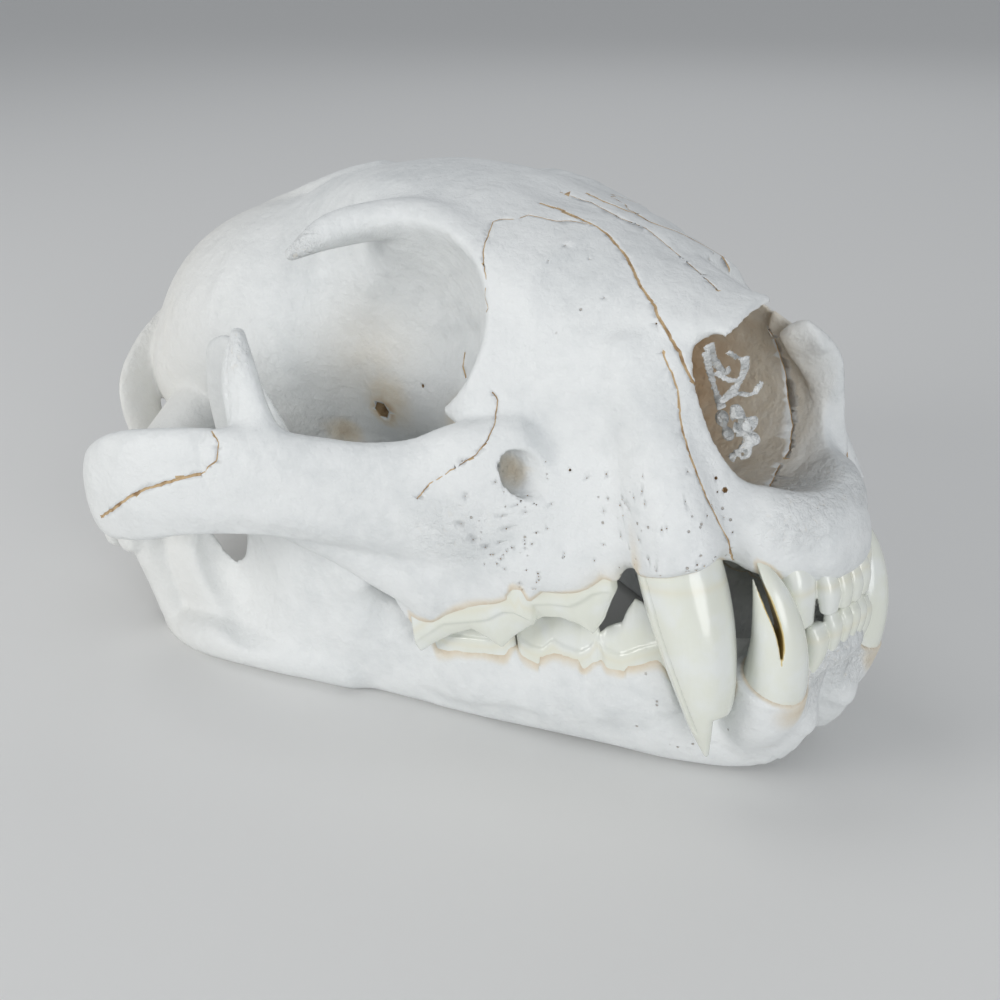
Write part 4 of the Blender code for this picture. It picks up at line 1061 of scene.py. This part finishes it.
def porePoints(mesh):  # fine holes, thickest above the canine and the cheek teeth
    rng = np.random.default_rng(pores["seed"])
    weight = painted(mesh, "pores")
    found = []
    for i in rng.choice(len(weight), pores["count"], replace=False, p=weight / weight.sum()):
        vertex = mesh.vertices[int(i)]
        found.append((float(rng.uniform(*pores["half"])), vertex.co.copy(), vertex.normal.copy()))
    return found


def cutLines(piece, lines, jag, seed):
    mesh = bpy.data.meshes.new("seamLine")
    points, edges, half = [], [], []
    for width, line in lines:
        edges += [(len(points) + i, len(points) + i + 1) for i in range(len(line) - 1)]
        points += [tuple(p) for p in line]
        half += [width * mm] * len(line)
    mesh.from_pydata(points, edges, [])
    mesh.attributes.new("half", "FLOAT", "POINT").data.foreach_set("value", np.array(half, np.float32))
    cutter = addPiece("seamCutter", mesh, seamFill)
    group, sockets = seamNodes()
    grow = cutter.modifiers.new("grow", "NODES")
    grow.node_group = group
    for name, value in (("spacing", seamCut["spacing"]), ("jag", jag), ("seed", seed)):
        grow[sockets[name].identifier] = value
    bake(cutter)
    before = len(piece.data.polygons)
    cut = piece.modifiers.new("cut", "BOOLEAN")
    cut.operation, cut.object, cut.solver = "DIFFERENCE", cutter, "MANIFOLD"
    bake(piece)
    tubes = treeOf(cutter.data)
    if len(piece.data.materials) < 2:
        piece.data.materials.append(seamFill)
    fill = list(piece.data.materials).index(seamFill)
    inside = 0
    for face in piece.data.polygons:
        near = tubes.find_nearest(face.center, seamCut["touch"])[0]
        face.material_index = fill if near or face.material_index == fill else 0
        inside += near is not None
    say(f"{before} to {len(piece.data.polygons)} faces, {inside} of them in the seams")
    bpy.data.objects.remove(cutter)


def cutSeams(piece):
    surface = treeOf(piece.data)
    lines, holes = [], []
    for name, (width, path) in seams.items():
        line = trace(surface, path)
        lines.append((width, line))
        if name not in oneSided:
            lines.append((width, mirrored(surface, line)))
    for width, px, py in pits:
        hit, normal = surface.ray_cast(*sightLine(px, py))[:2]
        if hit:
            holes.append((width, hit, normal))
    holes += porePoints(piece.data)
    cutLines(piece, [line for line in lines if len(line[1]) > 2], seamCut["jag"], seamCut["seed"])
    sunk = []
    for width, p, n in holes:
        deep = pitCut["deep"] + pitCut["deeper"] * width
        sunk.append((width, [p + n * pitCut["above"], p - n * pitCut["below"], p - n * deep]))
    cutLines(piece, sunk, pitCut["jag"], pitCut["seed"])


def makeCranium():
    block = buildCranium(grain["cranium"])
    say("cranium shaped")
    mesh = meshFrom("craniumBone", *block.surface())
    largestPart(mesh)
    piece = addPiece("craniumBone", mesh, bone)
    thin(piece, most["cranium"])
    say(f"cranium meshed, {len(piece.data.polygons)} faces")
    dressCranium(piece.data)
    cutSeams(piece)
    say("seams cut")
    return piece


# Lower jaw. Along a path: x, y, z, half height, half width. Then the muscle's hollow and what is smoothed.

jawForms = {
    "body": [
        (-12, 7.6, -25.4, 10.4, 5.2), (-19, 9.2, -29, 13.2, 7), (-30, 14.6, -29.4, 12.4, 7.3),
        (-42, 20.4, -27.9, 11, 6.8), (-54, 25.6, -26.2, 10.4, 6.4), (-68, 30.6, -24.1, 10.6, 6),
        (-84, 36, -20.5, 11.6, 5.6), (-100, 42, -15.5, 13.5, 5), (-114, 47, -12, 14, 4.6),
    ],
    "chin": [
        (-6.0, 4, -15, 3.6, 5.8), (-10.9, 4.6, -24, 5.4, 6.3), (-18.4, 5.5, -31.2, 6.6, 6.3),
        (-27, 7.5, -34, 5.6, 6),
    ],
    "canineRoot": [
        (-9.6, 13.5, -20.8, 7.4, 6.8), (-13.4, 12.4, -27.5, 7.5, 6.8), (-19, 11.6, -32.4, 6.6, 5.8),
    ],
    "plate": [
        (-92, 41.5, -13, 12, 4.2), (-104, 44.5, -9, 15, 4), (-116, 47.5, -8, 15.5, 3.8),
        (-128, 50, -7.5, 14, 3.7), (-139, 51.5, -5, 11, 3.6), (-147, 52.5, -2, 7, 4),
    ],
    "blade": [
        (-103, 43.8, -8, 21, 3.4), (-107, 44.8, 6, 18, 2.8), (-112.5, 45.8, 22, 14.5, 2.2),
        (-117.5, 46, 37, 10, 1.8), (-119.5, 45.6, 45, 6, 1.4),
    ],
    "hingeNeck": [(-148, 57.5, 2, 4.2, 3.4), (-147.5, 56, -6, 4.2, 3.2), (-146.5, 54.8, -14, 4, 3.2)],
    "hinge": [(-149, 40, 4, 4, 4), (-149, 50, 4.4, 4.4, 4.4), (-149, 61.2, 4, 3.6, 3.6)],
    "lowerEdge": [
        (-96, 43, -25.5, 4, 4), (-112, 49.5, -22.2, 4.4, 4.2), (-124, 53.5, -20, 4.8, 4.4),
        (-134, 55, -19.4, 4.6, 4.4), (-142, 54.5, -19, 4.3, 4), (-147.6, 53.8, -18.6, 3.6, 3.2),
    ],
    "incisorLip": [
        (-3.2, 0, -17.4, 3.4, 2.8), (-3.7, 3.5, -17.7, 3.4, 2.8), (-5.2, 6.6, -18.8, 3.2, 2.8),
        (-8.0, 9.2, -20.4, 3, 2.6),
    ],
    "muscleHollow": ((-112, 56.5, 0), (23, 8, 20), (0, 20, 14)),
    "softPlate": ((-110, 34, -38), (-78, 58, 6), 16),
}
jawCuts = {"middle": 0.00018, "floor": 0.00002}  # the gap to the other half, and the table that it rests on


def buildJaw(step):
    form = jawForms
    b = Block((-160, 0, -52), (8, 66, 54), step)
    b.add(Sweep(form["body"], power=2.2), 4)
    b.add(Sweep(form["chin"], facing=(1, 0, 0.4)), 4)
    b.add(Sweep(form["canineRoot"], facing=(1, 0, 0), cap=1.6), 3)
    b.add(Sweep(form["plate"], power=2.4), 4)
    b.add(Sweep(form["blade"], facing=(1, 0, 0), cap=3), 4)
    b.add(Sweep(form["hingeNeck"], facing=(1, 0, 0)), 3)
    b.add(Sweep(form["hinge"], cap=2), 2)
    b.add(Sweep(form["lowerEdge"], cap=2), 4)
    b.cut(Ball(*form["muscleHollow"]), 4)
    b.soften(*form["softPlate"])
    addSockets(b, "lower", lift=-6.4, tall=6.4, spare=0.6, seam=4)
    b.add(Sweep(form["incisorLip"]), 2)
    return b


def sliceMesh(bm, point, inward):
    geometry = bm.verts[:] + bm.edges[:] + bm.faces[:]
    bmesh.ops.bisect_plane(bm, geom=geometry, plane_co=point, plane_no=inward, clear_inner=True)


def makeJaws():
    points, faces = buildJaw(grain["jaw"]).surface()
    pieces = []
    for side, sign in (("left", 1), ("right", -1)):
        mesh = meshFrom(f"jaw_{side}", points, faces)
        bm = bmesh.new()
        bm.from_mesh(mesh)
        sliceMesh(bm, (0, jawCuts["middle"] * sign, 0), (0, sign, 0))
        sliceMesh(bm, (0, 0, jawCuts["floor"]), (0, 0, 1))
        bmesh.ops.holes_fill(bm, edges=[e for e in bm.edges if e.is_boundary], sides=0)
        bm.to_mesh(mesh)
        bm.free()
        piece = addPiece(f"jaw_{side}", mesh, bone)
        thin(piece, most["jaw"])
        p = unplace(pointsOf(piece.data))
        paint(piece.data, "warm", 0.1 * ramp(-p[:, 0], 80, 140))
        rough = [spot(p, (-5, 6, -20), (8, 9, 12), 0.7), spot(p, (-151, 53, -18), (8, 6, 6), 0.8) * 0.6]
        paint(piece.data, "rough", np.maximum(*rough))
        paint(piece.data, "pores", spot(p, (-30, 18, -28), (26, 12, 14), 0.8) * 0.5)
        pieces.append(piece)
    say("jaw meshed")
    return pieces


craniumPiece, jawPieces = makeCranium(), makeJaws()
for piece in [craniumPiece, *jawPieces]:
    piece.data.shade_smooth()
    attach(piece, root)
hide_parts("cranium")
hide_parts("mandible_left")
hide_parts("mandible_right")

makeTeeth()
say("teeth cut")
makeCanines()
say("canines cut")

gumStain = {"reach": 0.0009, "strength": 0.4}


def stainGums():  # a golden line where the teeth leave the bone
    reach = gumStain["reach"]
    teeth = [o for o in bpy.data.objects if o.name.startswith(("cheekTeeth", "upperCanine", "lowerCanine"))]
    near = [(treeOf(tooth.data), pointsOf(tooth.data)) for tooth in teeth]
    for piece in [craniumPiece, *jawPieces]:
        p = pointsOf(piece.data)
        warm = painted(piece.data, "warm")
        for tree, q in near:
            inBox = ((p > q.min(0) - mm) & (p < q.max(0) + mm)).all(1)
            for i in np.flatnonzero(inBox):
                distance = tree.find_nearest(Vector(p[i]), reach)[3]
                if distance is not None:
                    warm[i] = max(warm[i], gumStain["strength"] * (1 - distance / reach))
        paint(piece.data, "warm", warm)


stainGums()
say("gums stained")

# What is left of the scrolls inside the nose: half width in mm and places in the photo, and how deep they lie

scrolls = {
    "strands": [
        [(0.5, 709, 345), (0.42, 714, 360), (0.34, 726, 374), (0.25, 729, 366)],
        [(0.4, 706, 352), (0.35, 710, 372), (0.3, 716, 392), (0.45, 722, 408)],
        [(0.45, 745, 358), (0.4, 744, 372), (0.35, 738, 384), (0.5, 728, 396), (0.4, 722, 402)],
        [(0.4, 722, 398), (0.34, 738, 394), (0.34, 752, 394), (0.28, 762, 382)],
        [(0.3, 728, 352), (0.26, 738, 358), (0.3, 745, 358)],
        [(0.34, 716, 372), (0.3, 728, 380), (0.3, 740, 380)],
    ],
    "chunk": [
        (1.3, 722, 418), (1.7, 737, 414), (1.7, 749, 424), (1.5, 752, 438), (1.5, 744, 450),
        (1.2, 735, 456), (1.3, 728, 434), (1.4, 738, 430),
    ],
    "depth": {"strands": 13.0, "chunk": 12.0},
    "wave": 2.5,
    "holes": 90,
    "seed": 4,
}


def onPlane(px, py, y):  # skull coordinates where the line of sight meets a plane across the right half
    eye, along = sightLine(px, py)
    return unplace([eye + along * ((-y * mm - eye.y) / along.y)])[0]


def makeScrolls():
    block = Block((-46, -22, 8), (-6, -2, 48), grain["teeth"], half=False)
    depth, chunk = scrolls["depth"], scrolls["chunk"]
    for strand in scrolls["strands"]:
        rows = []
        for half, px, py in strand:
            wave = scrolls["wave"] * math.sin(px * 0.3 + py * 0.17)
            rows.append((*onPlane(px, py, depth["strands"] + wave), half * 2.2, half * 0.55))
        block.add(Sweep(rows, facing=(0.7, 0.7, 0.3), count=40), 0.5)
    for i, (half, px, py) in enumerate(chunk):
        centre = onPlane(px, py, depth["chunk"] + (i % 3) - 1)
        block.add(Ball(centre, (half * 1.05, half * 0.8, half * 1.15), (i * 40, i * 70, 0)), 1.2)
    rng = np.random.default_rng(scrolls["seed"])
    for i in range(scrolls["holes"]):
        half, px, py = chunk[i % len(chunk)]
        px, py = px + rng.uniform(-9, 9), py + rng.uniform(-9, 9)
        centre = onPlane(px, py, depth["chunk"] + rng.uniform(-0.5, 2.2))
        block.cut(Ball(centre, rng.uniform(0.4, 1.1, 3), rng.uniform(0, 90, 3)), 0.15)
    points, faces = block.surface()
    mesh = meshFrom("noseScrolls", points, faces)
    paint(mesh, "rough", np.full(len(points), 1.0))
    paint(mesh, "warm", np.full(len(points), 0.06))
    mesh.shade_smooth()
    piece = addPiece("noseScrolls", mesh, bone)
    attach(piece, root)


makeScrolls()
say("nose scrolls made")

# Stage, light and camera. Lamps: place, size, power and colour.

stage = {
    "floor": (0.80, 0.80, 0.79),
    "floorSize": 6,
    "skyColour": (0.93, 0.96, 1.0),
    "sky": 0.38,
    "aim": (0, 0, 0.05),
    "lamps": {
        "key": ((-0.38, -0.88, 0.30), 0.5, 3.4, (1.0, 0.985, 0.96)),
        "front": ((0.76, -0.42, 0.26), 0.5, 2.6, (0.985, 0.99, 1.0)),
        "top": ((-0.45, -0.15, 1.0), 0.5, 1.2, (1.0, 1.0, 1.0)),
        "back": ((-0.5, 0.8, 0.8), 0.8, 1.0, (0.95, 0.97, 1.0)),
    },
}


def makeStage():
    bpy.ops.mesh.primitive_plane_add(size=stage["floorSize"])
    floor = bpy.context.object
    floor.name = "floor"
    material, tree, shader = newMaterial("floorPaper")
    connect(tree, shader, baseColor=(*stage["floor"], 1), roughness=0.8)
    floor.data.materials.append(material)
    world = bpy.data.worlds.new("studio")
    bpy.context.scene.world = world
    world.use_nodes = True
    background = world.node_tree.nodes["Background"]
    background.inputs["Color"].default_value = (*stage["skyColour"], 1)
    background.inputs["Strength"].default_value = stage["sky"]
    for name, (spotAt, size, power, colour) in stage["lamps"].items():
        light = bpy.data.lights.new(name, "AREA")
        light.shape, light.size, light.energy, light.color = "DISK", size, power, colour
        lamp = bpy.data.objects.new(name, light)
        bpy.context.scene.collection.objects.link(lamp)
        lamp.location = spotAt
        lamp.rotation_euler = (Vector(stage["aim"]) - Vector(spotAt)).to_track_quat("-Z", "Y").to_euler()


def makeCamera():
    eye, right, up, forward = cameraAxes()
    data = bpy.data.cameras.new("camera")
    data.lens, data.sensor_width, data.clip_start = view["lens"], view["sensor"], 0.01
    camera = bpy.data.objects.new("camera", data)
    bpy.context.scene.collection.objects.link(camera)
    camera.matrix_world = Matrix.Translation(eye) @ Matrix((right, up, -forward)).transposed().to_4x4()
    bpy.context.scene.camera = camera


makeStage()
makeCamera()
bpy.context.scene.view_settings.view_transform = "Standard"
say("stage set")

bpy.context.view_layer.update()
counts = [sum(len(p.vertices) - 2 for p in o.data.polygons) for o in bpy.data.objects if o.type == "MESH"]
say(f"done, {sum(counts)} triangles, at most {max(counts)} in one piece")
